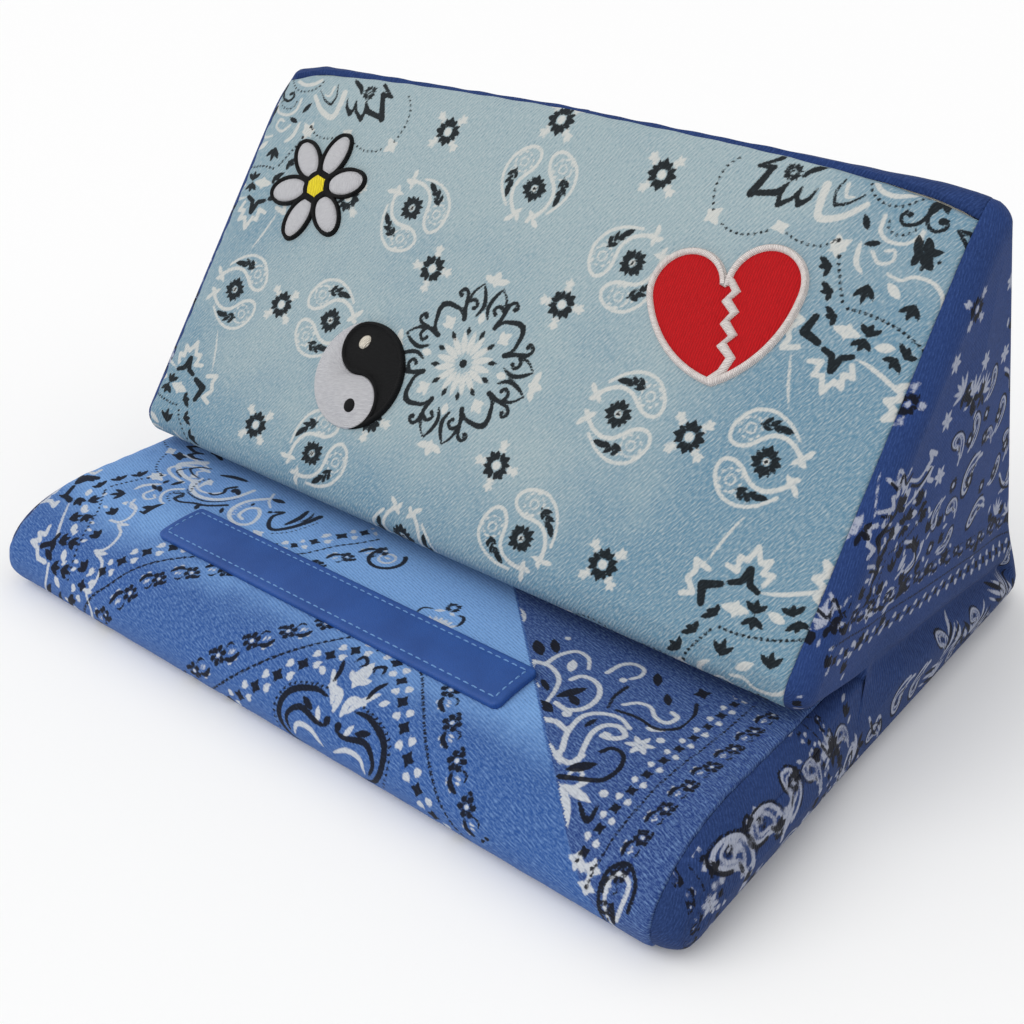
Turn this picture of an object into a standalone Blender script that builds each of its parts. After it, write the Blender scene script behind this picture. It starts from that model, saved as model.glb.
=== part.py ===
"""Tablet cushion stand: a foam backrest on a foam base, sewn into one printed denim-look cover.

The side profile is drawn once, as straight sides with rounded corners and an elliptical nose.
Every cover panel is a stretch of that profile with the cloth's thickness, the two end panels
close it over a rounded edge, and the foam fills what is left inside.
The stand rests on its underside: X runs along it, -Y is the front, +Z is up.
"""
import math

import bmesh
import bpy
from mathutils import Vector

# Overall size of the sewn cushion
LENGTH = 0.300
DEPTH = 0.238
HEIGHT = 0.1715

# Side profile, with reaches measured back from the foremost point of the nose
LEDGE_HEIGHT = 0.0345
NOSE_TIP_HEIGHT = 0.0127
NOSE_CROWN_REACH = 0.0388
NOSE_UNDER_REACH = 0.0110
FACE_ANGLE = math.radians(53.2)
FACE_FOOT_REACH = 0.0610
FACE_FOOT_HEIGHT = 0.0405
FOOT_RADIUS = 0.0075
RIDGE_RADIUS = 0.0050
REAR_RADIUS = 0.0100
GROOVE_END_REACH = 0.1050
GROOVE_END_GAP = 0.0010
TOP_SEAM_DROP = 0.0020
PARTING_RISE = 0.0045

# Cover and foam
FABRIC = 0.0015
EDGE_RADIUS = 0.0060
CLEARANCE = 0.0003
LEAST_RADIUS = 0.0006

# Stitched grip strip on the ledge
GRIP_LENGTH = 0.161
GRIP_OFFSET = -0.0075
GRIP_REACH = 0.0260
GRIP_WIDTH = 0.0210
GRIP_THICKNESS = 0.0028
GRIP_EDGE = 0.0006

# Embroidered patches: each centre is in from the nearer end seam and up the face from its foot
PATCH_CLOTH = 0.0008
PATCH_STITCH = 0.0006

HEART_IN = 0.0685
HEART_UP = 0.1189
HEART_TILT = math.radians(15.0)
HEART_LOBE_RADIUS = 0.0137
HEART_LOBE_SPREAD = 0.0132
HEART_SIDE_RADIUS = 0.0400
HEART_TIP_DROP = 0.0320
HEART_BORDER = 0.0021
CRACK_WIDTH = 0.0018
CRACK_PITCH = 0.0071
CRACK_SWING = 0.0036
CRACK_OFFSET = 0.0028
CRACK_START = 0.0015

YIN_YANG_IN = 0.0942
YIN_YANG_UP = 0.0544
YIN_YANG_RADIUS = 0.0203
YIN_YANG_TILT = math.radians(11.6)
EYE_RADIUS = 0.0030

DAISY_IN = 0.0380
DAISY_UP = 0.1172
DAISY_TURN = math.radians(17.0)
DAISY_PETALS = 6
PETAL_DISTANCE = 0.0139
PETAL_HALF_LENGTH = 0.0076
PETAL_HALF_WIDTH = 0.0040
DAISY_OUTLINE = 0.0022
DAISY_CENTRE_RADIUS = 0.0053

# Facets
NOSE_CROWN_STEPS = 12
NOSE_UNDER_STEPS = 5
CORNER_STEPS = 6
EDGE_STEPS = 4
GRIP_STEPS = 5
PATCH_STEPS = 48
SMALL_STEPS = 24

FRONT = -DEPTH / 2
REAR = DEPTH / 2
SEAM_X = LENGTH / 2 - EDGE_RADIUS


def linear(hex_colour):
    """Return the linear RGBA of an sRGB hex colour."""
    channels = [int(hex_colour[i:i + 2], 16) / 255 for i in (1, 3, 5)]
    straight = [c / 12.92 if c <= 0.04045 else ((c + 0.055) / 1.055) ** 2.4 for c in channels]
    return (*straight, 1.0)


def finish(name, hex_colour, roughness):
    """Return a plain non-metal material."""
    material = bpy.data.materials.new(name)
    material.use_nodes = True
    shader = material.node_tree.nodes["Principled BSDF"]
    shader.inputs["Base Color"].default_value = linear(hex_colour)
    shader.inputs["Roughness"].default_value = roughness
    shader.inputs["Metallic"].default_value = 0.0
    return material


def add_object(name, mesh_data, material):
    """Put a bmesh into a new named object with its faces pointing out."""
    bmesh.ops.recalc_face_normals(mesh_data, faces=mesh_data.faces)
    if mesh_data.calc_volume(signed=True) < 0:
        bmesh.ops.reverse_faces(mesh_data, faces=mesh_data.faces)
    mesh = bpy.data.meshes.new(name)
    mesh_data.to_mesh(mesh)
    mesh_data.free()
    mesh.materials.append(material)
    mesh.shade_smooth()
    mesh.set_sharp_from_angle(angle=math.radians(35))
    thing = bpy.data.objects.new(name, mesh)
    bpy.context.scene.collection.objects.link(thing)
    return thing


def loft(rings):
    """Skin a row of (x, ring) sections and cap both ends; a ring is a list of (y, z) points."""
    solid = bmesh.new()
    loops = [[solid.verts.new((x, p.x, p.y)) for p in ring] for x, ring in rings]
    count = len(loops[0])
    for first, second in zip(loops, loops[1:]):
        for i in range(count):
            j = (i + 1) % count
            solid.faces.new((first[i], first[j], second[j], second[i]))
    solid.faces.new(loops[0])
    solid.faces.new(loops[-1])
    return solid


def plate(outline, thickness, holes=()):
    """Raise a flat outline, less its holes, to a plate that lies on local Z = 0."""
    solid = bmesh.new()
    edges = []
    for loop in (outline, *holes):
        verts = [solid.verts.new((p.x, p.y, 0)) for p in loop]
        edges += [solid.edges.new((a, b)) for a, b in zip(verts, verts[1:] + verts[:1])]
    bmesh.ops.triangle_fill(solid, use_beauty=True, edges=edges, normal=(0, 0, 1))
    raised = bmesh.ops.extrude_face_region(solid, geom=solid.faces[:])["geom"]
    tops = [v for v in raised if isinstance(v, bmesh.types.BMVert)]
    bmesh.ops.translate(solid, vec=(0, 0, thickness), verts=tops)
    return solid


def meeting(point, direction, other_point, other_direction):
    """Return where two lines of the profile cross."""
    across = direction.x * other_direction.y - direction.y * other_direction.x
    gap = other_point - point
    along = (gap.x * other_direction.y - gap.y * other_direction.x) / across
    return point + direction * along


def drawn_in(corners, inset):
    """Move every side of a closed outline inwards by the same inset, with mitred corners."""
    moved = []
    for i, corner in enumerate(corners):
        into = (corner - corners[i - 1]).normalized()
        out = (corners[(i + 1) % len(corners)] - corner).normalized()
        first = Vector((-into.y, into.x))
        second = Vector((-out.y, out.x))
        moved.append(corner + (first + second) * (inset / (1 + first.dot(second))))
    return moved


def rounded(before, corner, after, radius):
    """Return the arc that rounds a corner between its two neighbours."""
    back = (before - corner).normalized()
    ahead = (after - corner).normalized()
    half = back.angle(ahead) / 2
    middle = corner + (back + ahead).normalized() * (radius / math.sin(half))
    start = corner + back * (radius / math.tan(half)) - middle
    sweep = math.pi - 2 * half
    turn = math.copysign(1, back.x * ahead.y - back.y * ahead.x)
    arc = []
    for step in range(CORNER_STEPS + 1):
        angle = -turn * sweep * step / CORNER_STEPS
        cosine, sine = math.cos(angle), math.sin(angle)
        spoke = Vector((start.x * cosine - start.y * sine, start.x * sine + start.y * cosine))
        arc.append(middle + spoke)
    return arc


def quarter_ellipse(centre, reach, rise, first_angle, steps):
    """Return a quarter turn of an ellipse, anticlockwise from the first angle, without its start."""
    turns = [first_angle + math.pi / 2 * step / steps for step in range(1, steps + 1)]
    return [centre + Vector((reach * math.cos(a), rise * math.sin(a))) for a in turns]


def profile_corners():
    """Return the corners of the side profile, from the groove round the nose, base and back."""
    groove_low = Vector((FRONT + GROOVE_END_REACH, LEDGE_HEIGHT))
    groove_high = groove_low + Vector((0, GROOVE_END_GAP))
    crown_centre = Vector((FRONT + NOSE_CROWN_REACH, NOSE_TIP_HEIGHT))
    crown_start = Vector((crown_centre.x, LEDGE_HEIGHT))
    crown = quarter_ellipse(crown_centre, NOSE_CROWN_REACH, LEDGE_HEIGHT - NOSE_TIP_HEIGHT,
                            math.pi / 2, NOSE_CROWN_STEPS)
    under_centre = Vector((FRONT + NOSE_UNDER_REACH, NOSE_TIP_HEIGHT))
    under = quarter_ellipse(under_centre, NOSE_UNDER_REACH, NOSE_TIP_HEIGHT,
                            math.pi, NOSE_UNDER_STEPS)

    foot = Vector((FRONT + FACE_FOOT_REACH, FACE_FOOT_HEIGHT))
    up_face = Vector((math.cos(FACE_ANGLE), math.sin(FACE_ANGLE)))
    into_face = Vector((up_face.y, -up_face.x))
    ridge_rise = HEIGHT - RIDGE_RADIUS * (1 + into_face.y) - foot.y
    ridge_centre = foot + up_face * (ridge_rise / up_face.y) + into_face * RIDGE_RADIUS
    rear_centre = Vector((REAR - REAR_RADIUS, REAR_RADIUS))
    apart = rear_centre - ridge_centre
    lean = math.acos((RIDGE_RADIUS - REAR_RADIUS) / apart.length)
    facing = math.atan2(apart.y, apart.x) + lean
    out_of_back = Vector((math.cos(facing), math.sin(facing)))
    down_back = Vector((out_of_back.y, -out_of_back.x))
    back_point = ridge_centre + out_of_back * RIDGE_RADIUS
    ridge = meeting(foot, up_face, back_point, down_back)
    rear = meeting(under[-1], Vector((1, 0)), back_point, down_back)
    return [groove_low, crown_start, *crown, *under, rear, ridge, foot, groove_high]


def profile(inset):
    """Return the stretches of the profile, drawn in by an inset, keyed by the panel they carry."""
    corners = drawn_in(profile_corners(), inset)
    nose_bottom, rear, ridge, foot, groove_high = corners[-5:]

    def arc(before, corner, after, radius):
        return rounded(before, corner, after, max(radius - inset, LEAST_RADIUS))

    rear_arc = arc(nose_bottom, rear, ridge, REAR_RADIUS)
    ridge_arc = arc(rear, ridge, foot, RIDGE_RADIUS)
    foot_arc = arc(ridge, foot, groove_high, FOOT_RADIUS)
    down_face = (foot - ridge).normalized()
    top_seam = ridge_arc[-1] + down_face * TOP_SEAM_DROP
    return {
        "ledge": corners[:-4],
        "base": [nose_bottom, rear_arc[0]],
        "back": [*rear_arc, *ridge_arc, top_seam],
        "front": [top_seam, *foot_arc, groove_high],
    }


def trimmed(points):
    """Shorten a stretch by half the seam clearance at each end."""
    first = points[0] + (points[1] - points[0]).normalized() * (CLEARANCE / 2)
    last = points[-1] + (points[-2] - points[-1]).normalized() * (CLEARANCE / 2)
    return [first, *points[1:-1], last]


def cover_panel(stretch, name, material):
    """Sew one panel: a stretch of the profile, as thick as the cloth, between the end panels."""
    outside = trimmed(profile(0)[stretch])
    inside = trimmed(profile(FABRIC)[stretch])
    section = outside + inside[::-1]
    half = SEAM_X - CLEARANCE
    return add_object(name, loft([(-half, section), (half, section)]), material)


def whole_ring(inset):
    """Return the closed profile as one ring."""
    parts = profile(inset)
    return parts["ledge"] + parts["base"][1:-1] + parts["back"] + parts["front"][1:]


def edge_sections(ring, radius, first, last):
    """Carry a ring round the rounded end edge, from one angle of the edge to another."""
    sections = []
    for step in range(EDGE_STEPS + 1):
        angle = first + (last - first) * step / EDGE_STEPS
        x = SEAM_X + radius * math.sin(angle)
        sections.append((x, ring(EDGE_RADIUS - radius * math.cos(angle))))
    return sections


def end_panel(side, name, material):
    """Close one end: a flat cheek with the groove's notch, turned over to the long panels."""
    inside = edge_sections(whole_ring, EDGE_RADIUS - FABRIC, math.pi / 2, 0)
    outside = edge_sections(whole_ring, EDGE_RADIUS, 0, math.pi / 2)
    sections = [(side * x, ring) for x, ring in inside + outside]
    return add_object(name, loft(sections), material)


def parting_point(parts, lift):
    """Return where the two foams part at the back, a rise above the rear corner."""
    corner_end = parts["back"][CORNER_STEPS]
    up_back = (parts["back"][CORNER_STEPS + 1] - corner_end).normalized()
    return corner_end + up_back * (PARTING_RISE + lift / up_back.y)


def base_foam_ring(inset):
    """Return the base slab's section: the ledge and nose in front, sloping down to the rear."""
    parts = profile(inset)
    rear_arc = parts["back"][:CORNER_STEPS + 1]
    return parts["ledge"] + rear_arc + [parting_point(parts, 0)]


def backrest_foam_ring(inset):
    """Return the backrest's section: the wedge that stands on the base slab."""
    parts = profile(inset)
    ridge_arc = parts["back"][CORNER_STEPS + 1:-1]
    heel = parts["ledge"][0] + Vector((0, CLEARANCE))
    return [parting_point(parts, CLEARANCE), *ridge_arc, *parts["front"][1:], heel]


def foam_block(ring, name, material):
    """Cut one foam core: a section carried along the stand, rounded at both ends."""
    radius = EDGE_RADIUS - FABRIC - CLEARANCE
    right = edge_sections(ring, radius, 0, math.pi / 2)
    left = [(-x, section) for x, section in reversed(right)]
    return add_object(name, loft(left + right), material)


def ledge_top(y):
    """Return the height of the ledge's top at a depth on the level part or the nose's crown."""
    short = max(FRONT + NOSE_CROWN_REACH - y, 0) / NOSE_CROWN_REACH
    return NOSE_TIP_HEIGHT + (LEDGE_HEIGHT - NOSE_TIP_HEIGHT) * math.sqrt(1 - short ** 2)


def grip_strip(material):
    """Stitch the leatherette strip along the ledge, following its top."""
    depths = [FRONT + GRIP_REACH + GRIP_WIDTH * step / GRIP_STEPS for step in range(GRIP_STEPS + 1)]
    under = [Vector((y, ledge_top(y) + CLEARANCE)) for y in depths]
    over = [p + Vector((0, GRIP_THICKNESS)) for p in reversed(under)]
    ends = [GRIP_OFFSET - GRIP_LENGTH / 2, GRIP_OFFSET + GRIP_LENGTH / 2]
    strip = add_object("grip_strip", loft([(x, under + over) for x in ends]), material)
    soften = strip.modifiers.new("soft_edges", "BEVEL")
    soften.width = GRIP_EDGE
    soften.segments = 2
    soften.limit_method = "ANGLE"
    soften.angle_limit = math.radians(40)
    return strip


def on_face(thing, frame, across, up, layer, tilt=0.0):
    """Seat a patch piece on the face, at its place in the layers of the patch."""
    thing.parent = frame
    thing.location = (across, up, CLEARANCE + layer * (PATCH_CLOTH + CLEARANCE))
    thing.rotation_euler = (0, 0, tilt)


def circle(centre, radius, steps, first=0.0, turn=2 * math.pi):
    """Return points round a circle or part of one; a whole turn leaves out its last point."""
    parts = steps if turn == 2 * math.pi else steps - 1
    angles = [first + turn * step / parts for step in range(steps)]
    return [centre + Vector((math.cos(a), math.sin(a))) * radius for a in angles]


def heart_half(inset):
    """Return the right half of the heart from its cleft to its tip: a lobe, then a longer side arc."""
    lobe = Vector((HEART_LOBE_SPREAD, 0))
    tip = Vector((0, -HEART_TIP_DROP))
    lobe_radius = HEART_LOBE_RADIUS - inset
    side_radius = HEART_SIDE_RADIUS - inset
    apart = tip - lobe
    reach = HEART_SIDE_RADIUS - HEART_LOBE_RADIUS
    along = (reach ** 2 - HEART_SIDE_RADIUS ** 2 + apart.length_squared) / (2 * apart.length)
    aside = math.sqrt(reach ** 2 - along ** 2)
    step_out = Vector((apart.y, -apart.x)).normalized()
    side = lobe + apart.normalized() * along + step_out * aside
    leaving = lobe - side
    join = math.atan2(leaving.y, leaving.x)
    cleft = math.acos(-min(HEART_LOBE_SPREAD / lobe_radius, 1))
    last = -math.acos(-side.x / side_radius)
    lobe_arc = circle(lobe, lobe_radius, PATCH_STEPS // 2, cleft, join - cleft)
    side_arc = circle(side, side_radius, PATCH_STEPS // 4, join, last - join)
    return lobe_arc + side_arc[1:]


def heart_outline(inset):
    """Return the whole heart, drawn in from its edge by an inset."""
    half = heart_half(inset)
    return half + [Vector((-p.x, p.y)) for p in reversed(half[1:-1])]


def crack_points():
    """Return the corners of the zigzag crack from the heart's cleft to its tip."""
    cleft = heart_half(0)[0].y
    top = cleft - CRACK_START
    count = int((cleft + HEART_TIP_DROP - CRACK_PITCH) / (CRACK_PITCH / 2))
    corners = []
    for step in range(1, count):
        swing = CRACK_SWING / 2 if step % 2 else -CRACK_SWING / 2
        corners.append(Vector((CRACK_OFFSET + swing, top - CRACK_PITCH / 2 * step)))
    return corners


def crack_x(y):
    """Return where the middle of the crack runs at a height on the heart."""
    ends = [Vector((0, heart_half(0)[0].y)), *crack_points(), Vector((0, -HEART_TIP_DROP))]
    for above, below in zip(ends, ends[1:]):
        if y >= below.y:
            share = (above.y - y) / (above.y - below.y)
            return above.x + (below.x - above.x) * share
    return ends[-1].x


def heart_field(side):
    """Return the red field on one side of the crack, inside the stitched border."""
    gap = Vector((side * CRACK_WIDTH / 2, 0))
    half = [Vector((side * p.x, p.y)) for p in heart_half(HEART_BORDER)]
    rim = [p for p in half if side * (p.x - crack_x(p.y)) > CRACK_WIDTH / 2 + CLEARANCE]
    low, high = rim[-1].y + CRACK_WIDTH / 2, rim[0].y - CRACK_WIDTH / 2
    crack = [p + gap for p in crack_points() if low < p.y < high]
    return rim + crack[::-1]


def heart_patch(frame, red, white):
    """Embroider the broken heart: a red twill field under a white satin border and crack."""
    field = add_object("heart_patch_field", plate(heart_outline(0), PATCH_CLOTH), red)
    windows = (heart_field(-1), heart_field(1))
    border = add_object("heart_patch_border", plate(heart_outline(0), PATCH_STITCH, windows), white)
    for layer, piece in enumerate((field, border)):
        on_face(piece, frame, SEAM_X - HEART_IN, HEART_UP, layer, HEART_TILT)


def yin_yang_dark_outline():
    """Return the dark half: the right of the disc, with the upper head added and the lower taken."""
    head = YIN_YANG_RADIUS / 2
    small = SMALL_STEPS
    rim = circle(Vector((0, 0)), YIN_YANG_RADIUS, PATCH_STEPS // 2, -math.pi / 2, math.pi)
    upper = circle(Vector((0, head)), head, small, math.pi / 2, math.pi)
    lower = circle(Vector((0, -head)), head, small, math.pi / 2, -math.pi)
    return rim + upper[1:] + lower[1:-1]


def yin_yang_patch(frame, light, dark):
    """Embroider the yin-yang disc: a light cloth disc, the dark half on it, and the two eyes."""
    head = YIN_YANG_RADIUS / 2
    eye = circle(Vector((0, 0)), EYE_RADIUS, SMALL_STEPS)
    eye_hole = [Vector((0, head)) + p * (1 + CLEARANCE / EYE_RADIUS) for p in eye]
    disc = circle(Vector((0, 0)), YIN_YANG_RADIUS, PATCH_STEPS)
    dark_plate = plate(yin_yang_dark_outline(), PATCH_STITCH, [eye_hole])
    pieces = (
        ("yin_yang_patch_light", plate(disc, PATCH_CLOTH), light, 0),
        ("yin_yang_patch_dark", dark_plate, dark, 1),
        ("yin_yang_eye_light", plate([p + Vector((0, head)) for p in eye], PATCH_STITCH), light, 1),
        ("yin_yang_eye_dark", plate([p - Vector((0, head)) for p in eye], PATCH_STITCH), dark, 1),
    )
    for name, solid, material, layer in pieces:
        piece = add_object(name, solid, material)
        on_face(piece, frame, YIN_YANG_IN - SEAM_X, YIN_YANG_UP, layer, YIN_YANG_TILT)


def petal_reach(angle, half_length, half_width):
    """Return how far out a petal on the +X axis lies in a direction, or 0 where it misses."""
    cosine, sine = math.cos(angle), math.sin(angle)
    a = (cosine / half_length) ** 2 + (sine / half_width) ** 2
    b = -2 * cosine * PETAL_DISTANCE / half_length ** 2
    c = (PETAL_DISTANCE / half_length) ** 2 - 1
    root = b ** 2 - 4 * a * c
    return (-b + math.sqrt(root)) / (2 * a) if root > 0 and cosine > 0 else 0.0


def daisy_outline():
    """Return the outline of the black backing: the petals and centre, grown by the outline."""
    length, width = PETAL_HALF_LENGTH + DAISY_OUTLINE, PETAL_HALF_WIDTH + DAISY_OUTLINE
    pitch = 2 * math.pi / DAISY_PETALS
    points = []
    for step in range(PATCH_STEPS * 2):
        angle = 2 * math.pi * step / (PATCH_STEPS * 2)
        off_petal = (angle + pitch / 2) % pitch - pitch / 2
        reach = max(DAISY_CENTRE_RADIUS + DAISY_OUTLINE, petal_reach(off_petal, length, width))
        points.append(Vector((math.cos(angle), math.sin(angle))) * reach)
    return points


def daisy_patch(frame, petal_white, black, yellow):
    """Embroider the daisy: a black backing, six padded petals and a round centre."""
    across = DAISY_IN - SEAM_X
    backing = add_object("daisy_patch_backing", plate(daisy_outline(), PATCH_CLOTH), black)
    on_face(backing, frame, across, DAISY_UP, 0, DAISY_TURN)
    around = circle(Vector((0, 0)), 1.0, SMALL_STEPS)
    for number in range(DAISY_PETALS):
        turn = DAISY_TURN + 2 * math.pi * number / DAISY_PETALS
        shape = [Vector((PETAL_DISTANCE + p.x * PETAL_HALF_LENGTH, p.y * PETAL_HALF_WIDTH))
                 for p in around]
        petal = add_object(f"daisy_petal_{number + 1}", plate(shape, PATCH_STITCH), petal_white)
        on_face(petal, frame, across, DAISY_UP, 1, turn)
    middle = [p * DAISY_CENTRE_RADIUS for p in around]
    centre = add_object("daisy_centre", plate(middle, PATCH_STITCH), yellow)
    on_face(centre, frame, across, DAISY_UP, 1, DAISY_TURN)


def face_frame():
    """Return an empty at the foot of the face, with X along the stand and Y up the face."""
    frame = bpy.data.objects.new("face_frame", None)
    frame.location = (0, FRONT + FACE_FOOT_REACH, FACE_FOOT_HEIGHT)
    frame.rotation_euler = (FACE_ANGLE, 0, 0)
    bpy.context.scene.collection.objects.link(frame)
    return frame


def build():
    """Model every piece of the stand."""
    for old in list(bpy.data.objects):
        bpy.data.objects.remove(old, do_unlink=True)

    light_denim = finish("printed_cover_light", "#A8CCDA", 0.9)
    mid_denim = finish("printed_cover_mid", "#5C8FD8", 0.9)
    dark_denim = finish("printed_cover_dark", "#2E4A90", 0.9)
    foam = finish("cut_foam", "#E6E2D4", 0.95)
    leatherette = finish("leatherette", "#2B57A8", 0.55)
    red_twill = finish("red_twill", "#B81C24", 0.8)
    white_thread = finish("white_thread", "#E2DCD8", 0.6)
    grey_satin = finish("grey_satin", "#D0D0D4", 0.5)
    black_thread = finish("black_thread", "#1A1B1E", 0.6)
    yellow_thread = finish("yellow_thread", "#F0DA22", 0.6)

    foam_block(base_foam_ring, "base_foam", foam)
    foam_block(backrest_foam_ring, "backrest_foam", foam)
    cover_panel("base", "base_panel", dark_denim)
    cover_panel("ledge", "ledge_panel", mid_denim)
    cover_panel("front", "front_panel", light_denim)
    cover_panel("back", "back_panel", dark_denim)
    end_panel(-1, "end_panel_left", dark_denim)
    end_panel(1, "end_panel_right", dark_denim)
    grip_strip(leatherette)

    frame = face_frame()
    heart_patch(frame, red_twill, white_thread)
    yin_yang_patch(frame, grey_satin, black_thread)
    daisy_patch(frame, grey_satin, black_thread, yellow_thread)
    bpy.context.view_layer.update()


build()
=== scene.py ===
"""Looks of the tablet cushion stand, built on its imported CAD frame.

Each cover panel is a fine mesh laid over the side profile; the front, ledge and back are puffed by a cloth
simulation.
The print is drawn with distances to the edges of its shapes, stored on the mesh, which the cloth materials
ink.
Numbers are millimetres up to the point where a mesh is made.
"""
import math

import bpy
import numpy as np
from mathutils import Matrix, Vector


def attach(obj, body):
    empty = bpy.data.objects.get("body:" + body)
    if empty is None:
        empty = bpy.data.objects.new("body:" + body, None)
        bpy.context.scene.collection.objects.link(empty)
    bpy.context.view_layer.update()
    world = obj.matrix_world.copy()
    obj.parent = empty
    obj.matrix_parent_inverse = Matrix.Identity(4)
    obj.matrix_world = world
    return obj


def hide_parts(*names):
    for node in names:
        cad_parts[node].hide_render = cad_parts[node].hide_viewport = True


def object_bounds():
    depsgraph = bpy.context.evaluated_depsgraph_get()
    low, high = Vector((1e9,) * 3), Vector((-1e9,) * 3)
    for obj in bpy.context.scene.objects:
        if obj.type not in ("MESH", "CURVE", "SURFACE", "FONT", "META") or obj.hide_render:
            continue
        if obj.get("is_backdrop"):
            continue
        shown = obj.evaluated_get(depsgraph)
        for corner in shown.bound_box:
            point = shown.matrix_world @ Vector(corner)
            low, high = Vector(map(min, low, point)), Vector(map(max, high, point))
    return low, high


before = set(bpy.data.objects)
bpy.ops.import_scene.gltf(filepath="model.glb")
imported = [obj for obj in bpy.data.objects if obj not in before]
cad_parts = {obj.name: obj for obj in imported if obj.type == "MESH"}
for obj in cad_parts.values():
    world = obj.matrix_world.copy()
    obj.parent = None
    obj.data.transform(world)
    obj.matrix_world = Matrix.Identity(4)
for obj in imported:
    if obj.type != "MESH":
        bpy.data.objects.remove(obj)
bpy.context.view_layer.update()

# Front panel
# Light washed denim plush from inside the groove, round the foot and up the face to the ridge. It is sewn
# into the end seams and into the top seam, which dips at both ends, and lies tight over the foam.

# All covers lie on the CAD's side profile: straight sides, three rounded corners and a nose of two
# quarter ellipses. Distance along it is 0 at the foot corner of the face and grows up the face, over the
# ridge, down the back, forward under the base and over the nose to the groove.
LENGTH = 300.0
END_ROUND = 7.0
FOOT = np.array([-58.0, 40.5])
FACE_ANGLE = math.radians(53.2)
BACK_NORMAL = math.radians(24.70)
RIDGE_CENTRE = np.array([42.5, 166.5])
FOOT_RADIUS, RIDGE_RADIUS, REAR_RADIUS = 7.5, 5.0, 10.0
NOSE_UNDER, UNDER_RADII = np.array([-108.0, 12.7]), (11.0, 12.7)
NOSE_CROWN, CROWN_RADII = np.array([-80.2, 12.7]), (38.8, 21.8)
UNDER_TO_FACE = math.radians(120.3)
SEAM_RIGHT = 144.2
SEAM_LEFT = SEAM_RIGHT + 2.4


def side(point, angle):
    """A side of the profile as a point on it, its direction, and its normal a quarter turn left."""
    along = np.array([math.cos(angle), math.sin(angle)])
    return np.array(point, float), along, np.array([-along[1], along[0]])


SIDES = {
    "under": side((-14.0, 35.5), math.atan2(5.0, -44.0)),
    "face": side(FOOT, FACE_ANGLE),
    "back": side(RIDGE_CENTRE + RIDGE_RADIUS * np.array([math.cos(BACK_NORMAL), math.sin(BACK_NORMAL)]),
                 BACK_NORMAL - math.pi / 2),
    "base": side((0.0, 0.0), math.pi),
    "ledge": side((0.0, 34.5), 0.0),
    "notch": side((-14.0, 35.0), math.pi / 2),
}


def corner(first, second, inset):
    """Where two sides meet once both are moved inwards by the inset."""
    p, d, n = SIDES[first]
    q, e, m = SIDES[second]
    gap = (q - m * inset) - (p - n * inset)
    return p - n * inset + d * (gap[0] * e[1] - gap[1] * e[0]) / (d[0] * e[1] - d[1] * e[0])


def fillet(first, second, radius, inset):
    """The arc that rounds the corner of two sides; its radius shrinks by the inset."""
    n, m = SIDES[first][2], SIDES[second][2]
    small = max(radius - inset, 0.6)
    centre = corner(first, second, inset) - (n + m) * small / (1 + n @ m)
    start = math.atan2(n[1], n[0])
    turn = math.atan2(n[0] * m[1] - n[1] * m[0], n @ m)
    angles = start + turn * np.linspace(0, 1, 49)
    return centre + small * np.stack([np.cos(angles), np.sin(angles)], 1)


def quarter(centre, reach, rise, start, inset):
    """A clockwise quarter of an ellipse, moved inwards along its normal by the inset."""
    t = start - np.linspace(0, math.pi / 2, 97)
    spot = np.stack([reach * np.cos(t), rise * np.sin(t)], 1)
    normal = np.stack([np.cos(t) / reach, np.sin(t) / rise], 1)
    normal /= np.linalg.norm(normal, axis=1)[:, None]
    return centre + spot - normal * inset


def section(inset):
    """The whole profile drawn in by an inset, as rows of (y, z) from groove to groove."""
    return np.concatenate([
        [corner("notch", "under", inset)],
        fillet("under", "face", FOOT_RADIUS, inset),
        fillet("face", "back", RIDGE_RADIUS, inset),
        fillet("back", "base", REAR_RADIUS, inset),
        quarter(NOSE_UNDER, *UNDER_RADII, -math.pi / 2, inset),
        quarter(NOSE_CROWN, *CROWN_RADII, math.pi, inset),
        [corner("ledge", "notch", inset)],
    ])


ROUND = np.concatenate([[0.0], np.cumsum(np.linalg.norm(np.diff(section(0.0), axis=0), axis=1))])
ROUND += FOOT_RADIUS * math.tan(UNDER_TO_FACE / 2) - ROUND[49]
GROOVE_HIGH, FACE_TOP, NOSE_BOTTOM, LEDGE_START, GROOVE_LOW = ROUND[[0, 50, 148, 341, 342]]


def smooth(low, high, value):
    """A smooth step from 0 at low to 1 at high: three times the square of the share less twice its cube."""
    t = np.clip((value - low) / (high - low), 0, 1)
    return t * t * (3 - 2 * t)


def bell(value, centre, spread_over):
    """A bell curve, 1 at its centre: e to minus the square of the distance over its spread."""
    return np.exp(-((value - centre) / spread_over) ** 2)


def end_inset(x):
    """How far the profile draws in near an end: the radius less the height of a circle over the place."""
    past = np.clip(np.abs(x) - (LENGTH / 2 - END_ROUND), 0, END_ROUND)
    return END_ROUND - np.sqrt(END_ROUND ** 2 - past ** 2)


INSETS = np.linspace(0, END_ROUND, 57)
SECTIONS = np.stack([section(inset) for inset in INSETS])


def seam_x(s, sign=1):
    """How far from mid-length an end's seam runs: 2.8 mm nearer the end along the ledge and the nose."""
    return (SEAM_RIGHT if sign > 0 else SEAM_LEFT) + 2.8 * smooth(NOSE_BOTTOM - 20, NOSE_BOTTOM + 10, s)


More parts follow.
